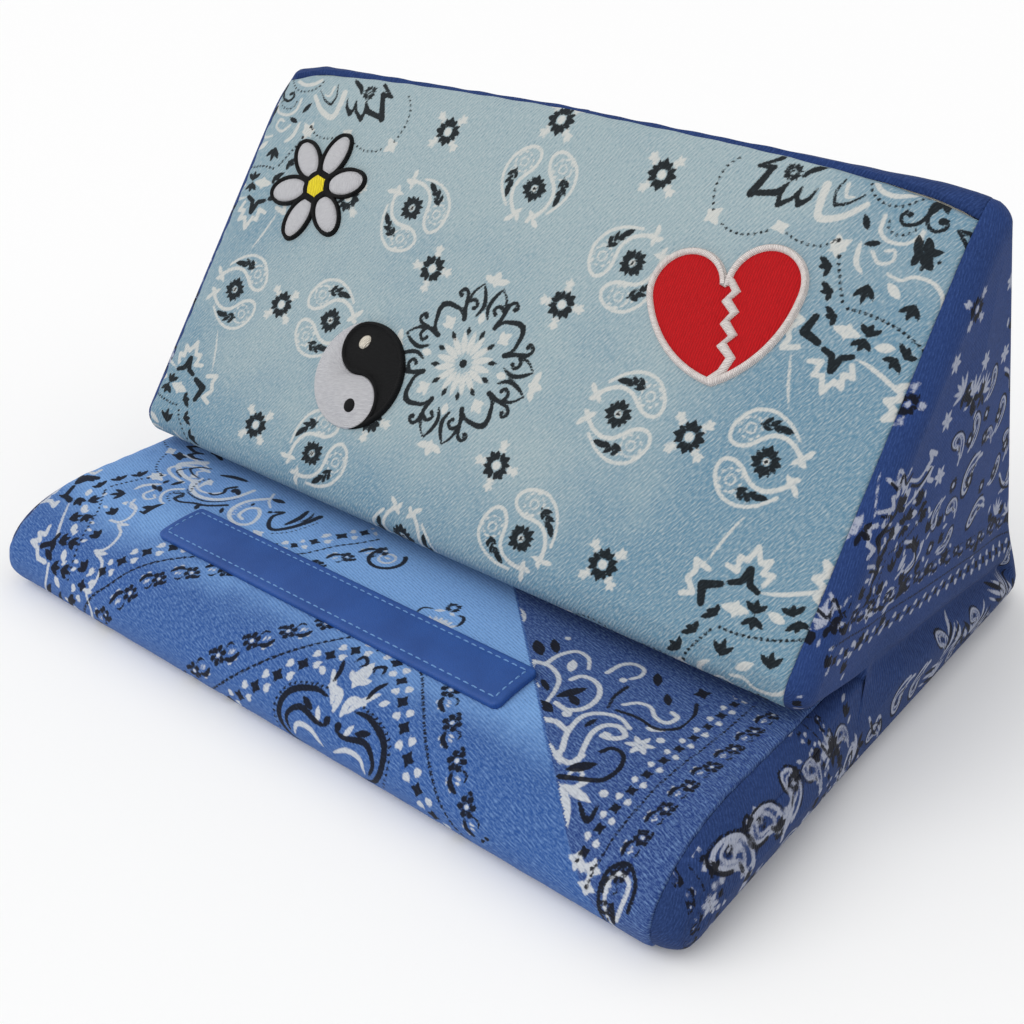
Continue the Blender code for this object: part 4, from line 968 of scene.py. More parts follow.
    strokes = join(
        stroke(x, w, rope([(118, -56), (120.6, -62), (120, -69), (115, -73.2), (108, -72.4), (101, -73.4)]),
               0.7, 0.6),
        stroke(x, w, rope([(97, -62), (96.6, -68), (98.4, -74)]), 0.7, 0.5),
        stroke(x, w, rope([(108, -91), (110, -88), (114, -88.5), (116, -93), (114.5, -99), (109, -102),
                           (102, -105)]), 0.7, 0.9),
        leaf(x, w, (103, -102), (110, -95), 1.7), leaf(x, w, (80, -84), (87, -86), 1.8),
        leaf(x, w, (83, -80), (88, -70), 1.7), leaf(x, w, (86, -76), (91, -79), 1.6),
        leaf(x, w, (60, -60), (67, -66), 2.0), leaf(x, w, (64, -56), (70, -62), 1.6),
        leaf(x, w, (108, -57), (112, -62), 1.3), leaf(x, w, (100, -50), (104, -56), 1.5),
        leaf(x, w, (74, -75), (80, -79), 1.1), swell(x, w, rope([(112, -108), (118, -112), (118, -106)]),
                                                     0.8),
        leaf(x, w, (99, -80), (98, -86), 0.9), star(x - 116.5, w + 50.5, 3.0))
    inner = in_patch & (x < 121)
    press(layers, inner, (strokes[inner], lines[inner]))

    def drop(u, v):
        return (join(stroke(u, v, rope([(-2, -16), (-4.6, -6), (-4.4, 2), (0, 5.6), (4.4, 2), (5, -5)]), 0.6,
                            0.6),
                     leaf(u, v, (0.6, -14), (0.2, -4), 0.9)),
                stroke(u, v, rope([(1.4, -18), (-1.4, -10), (-3.2, -1), (-1, 2.6), (2.6, 1.6), (2.8, -4),
                                   (1.4, -10)]), 0.6, 0.6))

    stamp(layers, x, w, drop, (134.5, -122), 0, 26)
    for centre in ((120.6, -121.6), (125.6, -121.6), (125.6, -126.6)):
        stamp(layers, x, w, lambda u, v: (np.hypot(u, v) - 0.7, star((u + v) * 0.7, (u - v) * 0.7, 3.0)),
              centre, 0, 5)
    return layers


dark, pale = ledge_print(x, w)
# Tone and painted shade of the ledge: darker down the nose towards its underside, as painted shade where the
# nose turns under; a little darker at the left end, lighter over the top of the nose and the ledge from the
# middle rightwards, and past the slanting line the printed patch.
tone_and_shade = (0.85 * smooth(-86, -122, w) + 0.1 * smooth(-60, -100, x) * smooth(-100, -60, w)
        - 0.3 * smooth(-50, 20, x) * smooth(-92, -70, w))
tone_and_shade = tone_and_shade + smooth(-0.5, 0.5, past_patch_edge(x, w)) * 3.0
ledge_denim = denim("bright_and_dark_denim", "#76A2D8", "#284F90", "#213874", "#8AADDA", "#10121A", "#C4C8CC",
                    math.radians(-17), 1.1, 0.5)
panel("ledge_cloth", ledge, (x, w), dark, pale, tone_and_shade, ledge_denim, ["ledge_panel"])

# Back and base panels
# Plain dark plush from the top seam over the ridge and down the back, and under the base. Both are
# sewn to the ends like the front; neither shows any print.
dark_denim = denim("dark_denim", "#213970", "#1A2E5A", "#1A2E5A", "#46619C", "#0E1018", "#A6ABBA",
                   math.radians(60), 1.1, 0.4)
x, s = panel_grid(192, 128, top_seam(np.linspace(-SEAM_LEFT, SEAM_RIGHT, 193)[:, None]) + 0.3, ROUND[147])
back = hem(puffed(x, s, 1.0, 0.004, 2.5, 4), x, s, 1.5, 1.8)
nothing = np.full(x.shape, 9.0)
panel("back_cloth", back, (x, s), nothing, nothing, 0.3 + 0 * x, dark_denim, ["back_panel"])
x, s = panel_grid(72, 56, ROUND[147] + 0.3, NOSE_BOTTOM)
base = hem(lay(x, s), x, s, 1.0, 3.0)
nothing = np.full(x.shape, 9.0)
panel("base_cloth", base, (x, s), nothing, nothing, 0.3 + 0 * x, dark_denim, ["base_panel"])

# End panels
# Dark printed plush cheeks, cut to the profile and sewn round it. Each is a cap: rings round the soft
# edge, then a cheek of two patches that meet along the crease from the groove's end to the rear corner.
CREASE = np.array([(-14, 35), (4, 33.5), (46, 28.5), (92, 22), (112, 14)], float)


def even(points, count):
    """Points respaced evenly along a line, ends kept."""
    marks = np.concatenate([[0], np.cumsum(np.linalg.norm(np.diff(points, axis=0), axis=1))])
    places = np.linspace(0, marks[-1], count)
    return np.stack([np.interp(places, marks, points[:, k]) for k in (0, 1)], 1)


def spread(start, end, cells):
    """Evenly spaced distances from start up to, but not with, end."""
    return start + (end - start) * np.arange(cells) / cells


def coons(bottom, top, left, right):
    """Grid between four sides of points: both ruled surfaces added up, less the one through the corners."""
    v = np.linspace(0, 1, len(left))[:, None, None]
    u = np.linspace(0, 1, len(bottom))[None, :, None]
    ruled = (1 - v) * bottom[None] + v * top[None] + (1 - u) * left[:, None] + u * right[:, None]
    corners = ((1 - u) * (1 - v) * bottom[0] + u * (1 - v) * bottom[-1]
               + (1 - u) * v * top[0] + u * v * top[-1])
    return ruled - corners


def cheek_swell(y, z, away):
    """How far the cheek stands out: a soft crown, a swollen slab below the crease, and the crease."""
    path = np.concatenate([CREASE, [[122, 8]]])
    below = np.interp(y, path[:, 0], path[:, 1]) - z
    round_off = np.sqrt(1 - (1 - np.clip(away / 16, 0, 1)) ** 2)
    slab = (1.6 + 2.6 * bell(y, -50, 60)) * round_off * smooth(-7, 9, below)
    slab = slab * smooth(2, 46, np.hypot(y + 14, z - 35))
    near = smooth(-30, 30, y)
    fold = near * (3.4 * bell(below, 0, 3.4) - 1.3 * bell(below, 9, 5.5))
    ripples = near * (0.7 * bell(below + 0.05 * y, -10, 4.0) + 0.5 * bell(below + 0.16 * y, -22, 6.0))
    pinch = 1.6 * bell(np.hypot(y - 106, z - 17), 0, 9)
    return 1.8 * smooth(0, 34, away) + slab - (fold + ripples + pinch) * smooth(0, 6, away)


def cap_rings(s, notch, sign):
    """Rings of an end's soft edge, by even angles of its quarter round; the slab's part stands out more."""
    first = np.arcsin(np.clip((seam_x(s, sign) - LENGTH / 2 + END_ROUND) / END_ROUND, 0, 1))
    low = smooth(ROUND[99] - 30, ROUND[99] + 4, s) * (1 - smooth(GROOVE_LOW - 55, GROOVE_LOW, s))
    rings = []
    for share in np.linspace(0, 1, 12):
        angle = first + (math.pi / 2 - first) * share
        reached = (np.sin(angle) - np.sin(first)) / (1 - np.sin(first))
        ring_x = LENGTH / 2 - END_ROUND + END_ROUND * np.sin(angle)
        ring = lay(ring_x, s, END_ROUND - END_ROUND * np.cos(angle))
        ring[:, 0] += (0.8 + 3.4 * low) * reached
        closing = ring[-1] + (ring[0] - ring[-1]) * (np.arange(1, notch) / notch)[:, None]
        rings.append(np.concatenate([ring, closing]))
    return np.stack(rings)


def end_cap(sign):
    """Points of an end's cap at the right end, and index grids of its edge and the cheek's two patches.

    The edge is the profile, whose stretches have as many cells as the sides across from them; both
    patches are filled between their sides and swell by how far they lie inside.
    """
    under, face, half, crease, low, shelf = 54, 225, 10, 168, 66, 100
    below = NOSE_BOTTOM - (NOSE_CROWN[0] - NOSE_UNDER[0]) - (GROOVE_LOW - LEDGE_START)
    s = np.concatenate([
        spread(GROOVE_HIGH, ROUND[14], under), spread(ROUND[14], FACE_TOP - 12, face),
        spread(FACE_TOP - 12, FACE_TOP + 22, under + half + crease),
        spread(FACE_TOP + 22, ROUND[99] - 10, face), spread(ROUND[99] - 10, ROUND[147], low),
        spread(ROUND[147], below - 4, crease), spread(below - 4, below, half),
        spread(below, NOSE_BOTTOM, shelf), spread(NOSE_BOTTOM, LEDGE_START, low),
        spread(LEDGE_START, GROOVE_LOW, shelf), [GROOVE_LOW]])
    rings = cap_rings(s, 2 * half, sign)
    count = rings.shape[1]
    edge = rings[-1]
    marks = np.cumsum([0, under, face, under + half + crease, face, low, shelf + half + crease, low, shelf])
    middle = marks[-1] + half
    blend = np.linspace(0, 1, crease + 1)[:, None]
    line = even(rope(CREASE, 20), crease + 1)
    line = np.concatenate([edge[middle, 0] * (1 - blend) + edge[marks[4], 0] * blend, line], 1)
    line += (edge[middle] - line[0]) * (1 - blend) ** 3 + (edge[marks[4]] - line[-1]) * blend ** 3
    around = [np.concatenate([np.arange(marks[1], -1, -1), np.arange(count - 1, middle - 1, -1)]),
              np.arange(marks[2], marks[3] + 1), np.arange(marks[1], marks[2] + 1),
              np.arange(marks[4], marks[3] - 1, -1), np.arange(marks[6], marks[5] - 1, -1),
              np.arange(marks[7], middle + 1), np.arange(marks[6], marks[7] + 1),
              np.arange(marks[5], marks[4] - 1, -1)]
    upper = coons(np.concatenate([edge[around[0]], line[1:]]), *(edge[ids] for ids in around[1:4]))
    lower = coons(edge[around[4]], np.concatenate([edge[around[5]], line[1:]]), edge[around[6]],
                  edge[around[7]])

    ring_index = np.arange(len(rings) * count).reshape(len(rings), count)
    last = ring_index[-1]
    total = ring_index.size
    crease_ids = np.concatenate([total + np.arange(crease - 1), [last[marks[4]]]])
    total += crease - 1
    grids = []
    for patch, sides in ((upper, (np.concatenate([last[around[0]], crease_ids]),
                                  *(last[ids] for ids in around[1:4]))),
                         (lower, (last[around[4]], np.concatenate([last[around[5]], crease_ids]),
                                  last[around[6]], last[around[7]]))):
        index = np.zeros(patch.shape[:2], int)
        inner = index[1:-1, 1:-1].shape
        index[1:-1, 1:-1] = total + np.arange(inner[0] * inner[1]).reshape(inner)
        index[0], index[-1], index[:, 0], index[:, -1] = sides
        total += inner[0] * inner[1]
        grids.append(index)
    flat = np.concatenate([line[1:-1], upper[1:-1, 1:-1].reshape(-1, 3), lower[1:-1, 1:-1].reshape(-1, 3)])
    away = np.full(len(flat), 99.0)
    corners = edge[::6, 1:]
    for a, b in zip(corners, np.roll(corners, -1, 0)):
        away = np.minimum(away, segment(flat[:, 1], flat[:, 2], a, b)[1])
    flat[:, 0] += cheek_swell(flat[:, 1], flat[:, 2], away)
    rings[0, :, 0] -= 0.9
    return np.concatenate([rings.reshape(-1, 3), flat]), ring_index, grids


def traced(y, z, lines, width):
    """Thin lines through lists of points."""
    return join(*[stroke(y, z, rope(line, 5), width, width * 0.8) for line in lines])


def small_star(u, v):
    """Six-pointed pale star."""
    r, angle = np.hypot(u, v), np.arctan2(v, u)
    step = np.mod(angle, math.pi / 3) - math.pi / 6
    return np.full(u.shape, 9.0), leaf(r * np.cos(step), r * np.sin(step), (0, 0), (3.6, 0), 0.8)


def flame(u, v):
    """Five pale leaves that spring from one point, over a dark cup."""
    petals = [leaf(u, v, (0, 0), (7 * math.sin(k * 0.5), 7 * math.cos(k * 0.5)), 0.7) for k in range(-2, 3)]
    return join(leaf(u, v, (0, -0.5), (-4.6, -2.4), 1.1), leaf(u, v, (0, -0.5), (4.6, -2.4), 1.1),
                leaf(u, v, (0, -1), (0, -5.5), 1.2)), join(*petals)


def streak(u, v):
    """Long narrow leaves, pale and dark, as the print looks where it is folded away."""
    return (join(leaf(u, v, (-8, 1.4), (5, 2.2), 0.9), leaf(u, v, (-3, -2.6), (8, -1.8), 0.8)),
            join(leaf(u, v, (-7, -0.6), (6, 0.4), 0.7), leaf(u, v, (-2, 3.2), (7, 3.6), 0.6),
                 leaf(u, v, (-8, -3.2), (-1, -2.8), 0.5)))


def teardrop(u, v):
    """Paisley with its head up: a pale outline and lining, dark beads inside and a dark edge outside."""
    p, q = u / 0.62 + 8.8, v / 0.62 + 4.0
    line = PAISLEY[::2]
    lining = stroke(8.8 + (p - 8.8) / 0.55, 8.0 + (q - 8.0) / 0.55, line, 1.2, 1.2) * 0.55
    edge = stroke(8.8 + (p - 8.8) / 1.24, 6.0 + (q - 6.0) / 1.24, line[4:26], 0.5, 0.7) * 1.24
    dark = join(edge, floret(p - 8.8, q - 9.0, 0.42)[0], leaf(p, q, (8.6, 4.6), (7.6, -3.0), 0.9))
    return dark * 0.62, join(stroke(p, q, line, 0.85, 1.05), lining) * 0.62


TEARDROPS = [
    (29, 98, 0.5, 0.8), (41, 99, -0.2, 0.8), (51, 111, -0.6, 0.75), (44, 83, 2.2, 1.05), (58, 63, 1.6, 1.0),
    (71, 72, -0.9, 0.75), (79, 80, 0.3, 0.8), (66, 95, -0.4, 0.85), (20, 78, 2.6, 0.7), (33, 62, -1.2, 0.75),
    (57, 91, 1.0, 0.6), (33, 75, 0.9, 0.7), (88, 62, -0.6, 0.7), (-94, 23, 0.5, 1.5), (-78, 24, 0.9, 1.3),
    (-64, 26, -0.4, 1.1), (-66, 9, 1.7, 0.9), (-84, 7, 2.9, 0.7), (-51, 24, 0.5, 0.85), (-52, 8, 1.2, 0.7),
    (-30, 24, 0.8, 0.7), (8, 18, 2.4, 0.95), (20, 17, 2.5, 0.9), (-8, 12, 1.1, 0.7), (38, 22, 0.4, 0.75),
    (52, 12, 2.3, 0.8), (66, 18, 0.7, 0.7), (80, 8, 1.9, 0.75), (94, 13, 0.2, 0.7), (104, 24, 2.6, 0.6)]


def sprig(u, v):
    """A dark bud between two pale leaves."""
    return (tulip(u, v, (-2.2, 0), (1.4, -2.3), (1.4, 2.3)),
            join(leaf(u, v, (1.6, 3.2), (4.8, 1.4), 0.7), leaf(u, v, (-3.8, -2.6), (-0.8, -3.6), 0.6)))


SPRIGS = [
    (-5, 93, 1.2), (1, 86, 0.4), (6, 90, 2.0), (10, 82, -0.6), (-10, 84, 2.6), (15, 76, 0.9), (-3, 75, 1.7),
    (-25, 71, 0.3), (-13, 67, 2.2), (1, 64, 1.0), (12, 63, -0.4), (-33, 63, 1.8), (-41, 56, 0.5),
    (-21, 53, 2.4),
    (-6, 52, 1.1), (-47, 66, 1.4), (-30, 48, 0.8), (24, 74, 2.0), (28, 66, 0.6), (22, 57, 1.5), (36, 56, 2.7),
    (57, 141, 1.0), (60, 128, 2.2), (30, 114, 0.6), (41, 113, 2.2), (35, 108, 1.4), (8, 72, 1.9),
    (64, 46, 0.4),
    (76, 52, 1.3), (88, 50, 2.1), (-16, 78, 0.9), (74, 102, 1.2), (82, 88, 0.5), (88, 74, 1.9),
    (-54, 44, 0.8)]
SPIKES = [
    [(-13, 104), (-10.4, 100.6), (-8, 104.4), (-6, 100.4), (-2.6, 102.4)],
    [(-2, 98.4), (4, 96.4), (10, 99.4)],
    [(-18, 95), (-13, 92.6), (-16.6, 89.6), (-11.4, 88)], [(-23, 79), (-18.6, 76.6), (-20.6, 72)],
    [(-44, 76), (-41, 72), (-38, 77), (-36, 71), (-31, 73)], [(0, 77), (6, 74), (8, 68), (3, 66)],
    [(62, 112), (67, 109), (70, 103)], [(78, 68), (84, 62), (90, 60)],
    [(-44, 30), (-41, 25), (-38, 29), (-35, 23)],
    [(-29, 13), (-25, 17), (-24, 10), (-19, 14)], [(-12, 20), (-9, 14), (-5, 17), (-3, 11)]]


def end_print(y, z):
    """Print of an end: florets and stars up high, ornament and lace below, borders by the crease."""
    layers = np.full(y.shape, 9.0), np.full(y.shape, 9.0)
    for centre in ((27, 142), (-2, 124.5)):
        stamp(layers, y, z, lambda u, v: [0.78 * d for d in turned_floret(u / 0.78, v / 0.78)], centre, 0.12,
              10)
    for centre in ((18, 128), (18, 110), (40, 122), (59, 118), (4, 143), (52, 144), (18, 92), (-44, 88)):
        stamp(layers, y, z, small_star, centre, 0.4, 6)
    for centre, turn in (((34, 113), 0.0), ((27, 116), 0.9), ((42, 111), -0.7), ((-25, 92), 0.6),
                         ((-40, 68), 0.5)):
        stamp(layers, y, z, flame, centre, turn, 10)
    ornament = (y > -24) & (y < 24) & (z > 56) & (z < 108)
    press(layers, ornament, corner_ornament(126.7 + (y[ornament] + 8) / 0.85,
                                            24.4 + (101 - z[ornament]) / 0.9))
    layers[1][:] = np.minimum(layers[1], traced(y, z, SPIKES, 0.62))
    layers[0][:] = np.minimum(layers[0], traced(y - 1.2, z + 2.2, SPIKES, 0.6))
    for u, v, turn, size in TEARDROPS:
        stamp(layers, y, z, lambda p, q: [size * d for d in teardrop(p / size, q / size)], (u, v), turn,
              13 * size)
    for centre in ((37, 97), (52, 92), (44, 80), (58, 72), (70, 72), (78, 79), (64, 95), (50, 101), (30, 84),
                   (20, 66), (-86, 30), (-74, 20), (-62, 28), (-86, 6), (-56, 5), (-44, 10)):
        stamp(layers, y, z, lambda u, v: (floret(u, v, 0.55)[0], disc(u, v, (0, 0), 1.0)), centre, centre[0],
              6)
    for u, v, turn in SPRIGS:
        stamp(layers, y, z, sprig, (u, v), turn, 6)
    for centre, turn in (((-38, 24), 0.9), ((-20, 14), 1.3), ((82, 50), -0.5), ((97, 45), 0.4),
                         ((-30, 8), 0.3)):
        stamp(layers, y, z, flame, centre, turn, 10)
    for centre, turn in (((32, 12), -0.4), ((45, 21), 0.5), ((59, 15), -0.9), ((73, 13), 0.7),
                         ((88, 17), -0.6), ((100, 12), 0.9)):
        stamp(layers, y, z, streak, centre, turn, 10)
        stamp(layers, y, z, flame, (centre[0] + 7, centre[1] - 4), turn + 0.6, 10)
    for k in range(21):
        spot = -107 + 4.3 * k, 17 + 13 * math.sin(2.4 * k)
        if k % 3:
            stamp(layers, y, z, sprig, spot, 1.7 * k, 6)
        else:
            stamp(layers, y, z, small_star, spot, 0.2 + 0.5 * k, 6)
    rows = (([(-40, 60), (-10, 55), (30, 49), (64, 43), (100, 35), (112, 31)], 0.8),
            ([(-110, 2), (-107, 16), (-111, 34)], 0.7), ([(-48, 42), (-40, 22), (-34, 4)], 0.6))
    for line, size in rows:
        path = rope(line, 4)
        shown = np.abs(follow(y, z, path)[1]) < 11 * size
        press(layers, shown, [shape[shown] for shape in border(y, z, path, size)])
    return layers


def build_end(sign, name, node):
    """Close an end with its cap, mirrored for the left, with its print in the plane of the cheek."""
    points, ring_index, grids = end_cap(sign)
    flat, rings = points[:, 1:].copy(), points[ring_index]
    outward = rings[0, :, 1:] - rings[-1, :, 1:]
    outward /= np.maximum(np.linalg.norm(outward, axis=1, keepdims=True), 1e-6)
    flat[ring_index] += outward * (rings[-1:, :, :1] - rings[..., :1])
    y, z = flat.T
    dark, pale = end_print(y, z)
    # Each end's tone is darker towards the bottom.
    layers = {"ink_dark": dark, "ink_pale": pale, "tone_and_shade": 0.15 + 0.4 * smooth(60, 10, z),
              "cloth": np.column_stack([y, z, 0 * z])}
    points[:, 0] *= sign
    faces = [ring_index[0, ::sign].tolist()]
    for index in (np.concatenate([ring_index, ring_index[:, :1]], 1), *grids):
        quads = np.stack([index[:-1, :-1], index[:-1, 1:], index[1:, 1:], index[1:, :-1]], -1).reshape(-1, 4)
        first, second, third = (points[quads[:, k]] for k in (0, 1, 2))
        facing = np.cross(second - first, third - first).sum(0)[0] * sign
        faces += (quads if facing > 0 else quads[:, ::-1]).tolist()
    made = add_mesh(name, points, faces, layers, dark_denim, [node])


build_end(1, "end_cloth_right", "end_panel_right")
build_end(-1, "end_cloth_left", "end_panel_left")

# Foam
# Two blocks cut from upholstery foam fill the cover, a slab and the wedge on it. They are drawn in
# clear of the cloth.

def open_cell_foam(name, colour):
    """Cut upholstery foam: pale and matt, with pores of about 1 mm that are sunk and painted darker, as shade
    in the holes.
    """
    material = bpy.data.materials.new(name)
    material.use_nodes = True
    tree = material.node_tree
    shader = tree.nodes["Principled BSDF"]
    place = add(tree, "TexCoord", out="Object")
    pores = add(tree, "TexVoronoi", {"Vector": place, "Scale": 900.0})
    # Painted shade: the pores are darkened towards a dull beige.
    depth = add(tree, "MapRange", (pores, 0.0, 0.5, 0.35, 0.0), **SOFT)
    tint = add(tree, "Mix", {0: depth, 6: linear(colour), 7: linear("#B9AF95")}, **COLOUR)
    tree.links.new(tint, shader.inputs["Base Color"])
    bump = add(tree, "Bump", {"Strength": 0.4, "Distance": 0.0004, "Height": pores})
    tree.links.new(bump, shader.inputs["Normal"])
    shader.inputs["Roughness"].default_value = 0.95
    return material


foam_material = open_cell_foam("cut_upholstery_foam", "#E6E2D4")


def foam_block(name, rows, middle, node):
    """Foam over a run of the profile's rows, closed through middle points, and rounded at both ends."""
    ends = np.sin(np.linspace(-1, 1, 25) * math.pi / 2) * (LENGTH / 2 - 3.5)
    s = ROUND[rows]
    x = np.repeat(ends[:, None], len(s), 1)
    inset = np.minimum(2.6 + end_inset(x * 1.012), END_ROUND)
    ring = lay(x, s, inset)
    closing = np.array(middle, float)
    closing = np.concatenate([np.repeat(ends[:, None, None], len(closing), 1),
                              np.repeat(closing[None], len(ends), 0)], 2)
    ring = np.concatenate([ring, closing], 1)
    count = ring.shape[1]
    index = np.arange(ring.shape[0] * count).reshape(ring.shape[0], count)
    index = np.concatenate([index, index[:, :1]], 1)
    faces = np.stack([index[:-1, :-1], index[1:, :-1], index[1:, 1:], index[:-1, 1:]], -1)
    faces = faces.reshape(-1, 4).tolist() + [index[0, :-1].tolist(), index[-1, -2::-1].tolist()]
    made = add_mesh(name, ring, faces, {}, foam_material, [node])


foam_block("backrest_foam_wedge", np.r_[1:50:6, 50:99:6, 99], [(108, 22), (-10, 41)], "backrest_foam")
foam_block("base_foam_slab", np.r_[111:148:6, 148:342:8, 341], [(-14, 31), (40, 25), (104, 13)], "base_foam")

# Grip strip
# Blue leatherette strip sewn on the ledge, rounded at its corners, with a light running stitch just
# inside its edges. It is left bare.
STRIP_LOW, STRIP_HIGH = np.array([-87.0, -95.2]), np.array([73.0, -74.4])
STRIP_THICK, STRIP_CORNER = 2.4, 3.0
ledge_normals = normals(ledge)


def footing(grid, normal, i, j):
    """Points and normals of a grid at fractional places, weighted between the four nearest."""
    a = np.clip(i.astype(int), 0, grid.shape[0] - 2)
    b = np.clip(j.astype(int), 0, grid.shape[1] - 2)
    u, v = (i - a)[..., None], (j - b)[..., None]
    return [(values[a, b] * (1 - u) + values[a + 1, b] * u) * (1 - v)
            + (values[a, b + 1] * (1 - u) + values[a + 1, b + 1] * u) * v for values in (grid, normal)]


def on_ledge(x, w, height):
    """Points at a length and a distance back along the ledge, raised by a height."""
    s = w + LEDGE_START - NOSE_CROWN[0]
    low, high = NOSE_BOTTOM + 0.3, GROOVE_LOW - 0.3
    share = (x + seam_x(s, -1)) / (seam_x(s) + seam_x(s, -1))
    place, normal = footing(ledge, ledge_normals, share * LEDGE_CELLS, (s - low) / (high - low) * LEDGE_ROWS)
    return place + normal * height[..., None]


def closed_sheet(rows, columns, ring=False):
    """Faces of a grid closed below by strips between its long edges; a ring has no ends."""
    index = np.arange(rows * columns).reshape(rows, columns)
    looped = np.concatenate([index, index[:1]]) if ring else index
    faces = np.stack([looped[:-1, :-1], looped[1:, :-1], looped[1:, 1:], looped[:-1, 1:]], -1)
    faces = faces.reshape(-1, 4).tolist()
    first = 0 if ring else 1
    for k in range(first, len(looped) - 1 - first):
        faces.append([int(looped[k, 0]), int(looped[k, -1]), int(looped[k + 1, -1]), int(looped[k + 1, 0])])
    if not ring:
        faces.append([*index[0].tolist(), int(index[1, -1]), int(index[1, 0])])
        faces.append([*index[-1, ::-1].tolist(), int(index[-2, 0]), int(index[-2, -1])])
    return faces


def add_laid(name, parts, place, material, stands_for):
    """One object of laid parts, each a grid, its heights, faces and thread coordinates."""
    points, faces, threads, total = [], [], [], 0
    for grid, heights, part_faces, thread in parts:
        spots = place(grid[..., 0], grid[..., 1], heights).reshape(-1, 3)
        points.append(spots)
        faces += [[total + k for k in face] for face in part_faces]
        threads.append(np.concatenate([thread, 0 * thread[..., :1]], -1).reshape(-1, 3))
        total += len(spots)
    return add_mesh(name, np.concatenate(points), faces, {"cloth": np.concatenate(threads)}, material,
                    stands_for)


def satin(name, colour, shade, pitch=0.5, gloss=0.45, fuzz=0.03):
    """Polyester embroidery thread laid side by side: ridges one pitch in mm apart, soft gloss on each.

    A sine along the row, bent by noise, makes the ridges; noise stretched along the thread varies its
    colour and height. Real thread is 0.3 to 0.4 mm thick and is drawn a little coarser, so that it shows.
    """
    material = bpy.data.materials.new(name)
    material.use_nodes = True
    tree = material.node_tree
    shader = tree.nodes["Principled BSDF"]
    cloth = add(tree, "Attribute", out="Vector", attribute_name="cloth")
    along = add(tree, "SeparateXYZ", (cloth,))
    bend = add(tree, "TexNoise", {"Vector": cloth, "Scale": 0.9, "Detail": 2.0})
    phase = add(tree, "Math", (bend, 5.0, add(tree, "Math", (along, 2 * math.pi / pitch), **TIMES)), **PLUS)
    ridge = add(tree, "MapRange", (add(tree, "Math", (phase,), **SINE), -1.0, 1.0), **SOFT)
    streaks = add(tree, "Mapping", {"Vector": cloth, "Scale": (2.4, 0.35, 1.0)})
    streak = add(tree, "TexNoise", {"Vector": streaks, "Scale": 1.0, "Detail": 3.0})
    share = add(tree, "Math", (ridge, -0.45, streak), **PLUS)
    share = add(tree, "MapRange", (share, -0.1, 0.65, 1.0, 0.0), **SOFT)
    tint = add(tree, "Mix", {0: share, 6: linear(colour), 7: linear(shade)}, **COLOUR)
    tree.links.new(tint, shader.inputs["Base Color"])
    height = add(tree, "Math", (ridge, 0.7, streak), **PLUS)
    bump = add(tree, "Bump", {"Strength": 0.7, "Distance": 0.0003, "Height": height})
    tree.links.new(bump, shader.inputs["Normal"])
    shader.inputs["Roughness"].default_value = gloss
    shader.inputs["Sheen Weight"].default_value = fuzz
    shader.inputs["Specular IOR Level"].default_value = 0.2
    return material


def strip_grid():
    """Grid of the strip in cloth coordinates, with its heights: walls, a soft rim and a flat top."""
    rim = np.array([(0.35, 0.0), (0.05, 0.35), (0.0, 0.9), (0.0, 1.4), (0.12, 1.85), (0.45, 2.2), (0.95, 2.4),
                    (1.6, 2.42), (2.3, 2.38), (2.9, 2.22), (3.5, 2.36), (4.2, 2.4)])
    spans = []
    for low, high, count in ((STRIP_LOW[0], STRIP_HIGH[0], 200), (STRIP_LOW[1], STRIP_HIGH[1], 14)):
        inner = np.linspace(low + 5, high - 5, count)
        places = np.concatenate([low + rim[:, 0], inner, (high - rim[:, 0])[::-1]])
        heights = np.concatenate([rim[:, 1], np.full(count, STRIP_THICK), rim[::-1, 1]])
        spans.append((places, heights))
    (along, first), (across, second) = spans
    grid = np.stack(np.meshgrid(along, across, indexing="ij"), -1)
    heights = np.minimum(first[:, None], second[None])
    radius = STRIP_CORNER
    middle, half = (STRIP_LOW + STRIP_HIGH) / 2, (STRIP_HIGH - STRIP_LOW) / 2
    away = grid - middle
    past = np.clip((np.abs(away) - (half - radius)) / radius, 0, 1)
    both = (past > 0).all(-1)
    round_past = np.stack([past[..., 0] * np.sqrt(1 - past[..., 1] ** 2 / 2),
                           past[..., 1] * np.sqrt(1 - past[..., 0] ** 2 / 2)], -1)
    rounded = np.sign(away) * (half - radius + radius * round_past) + middle
    return np.where(both[..., None], rounded, grid), heights


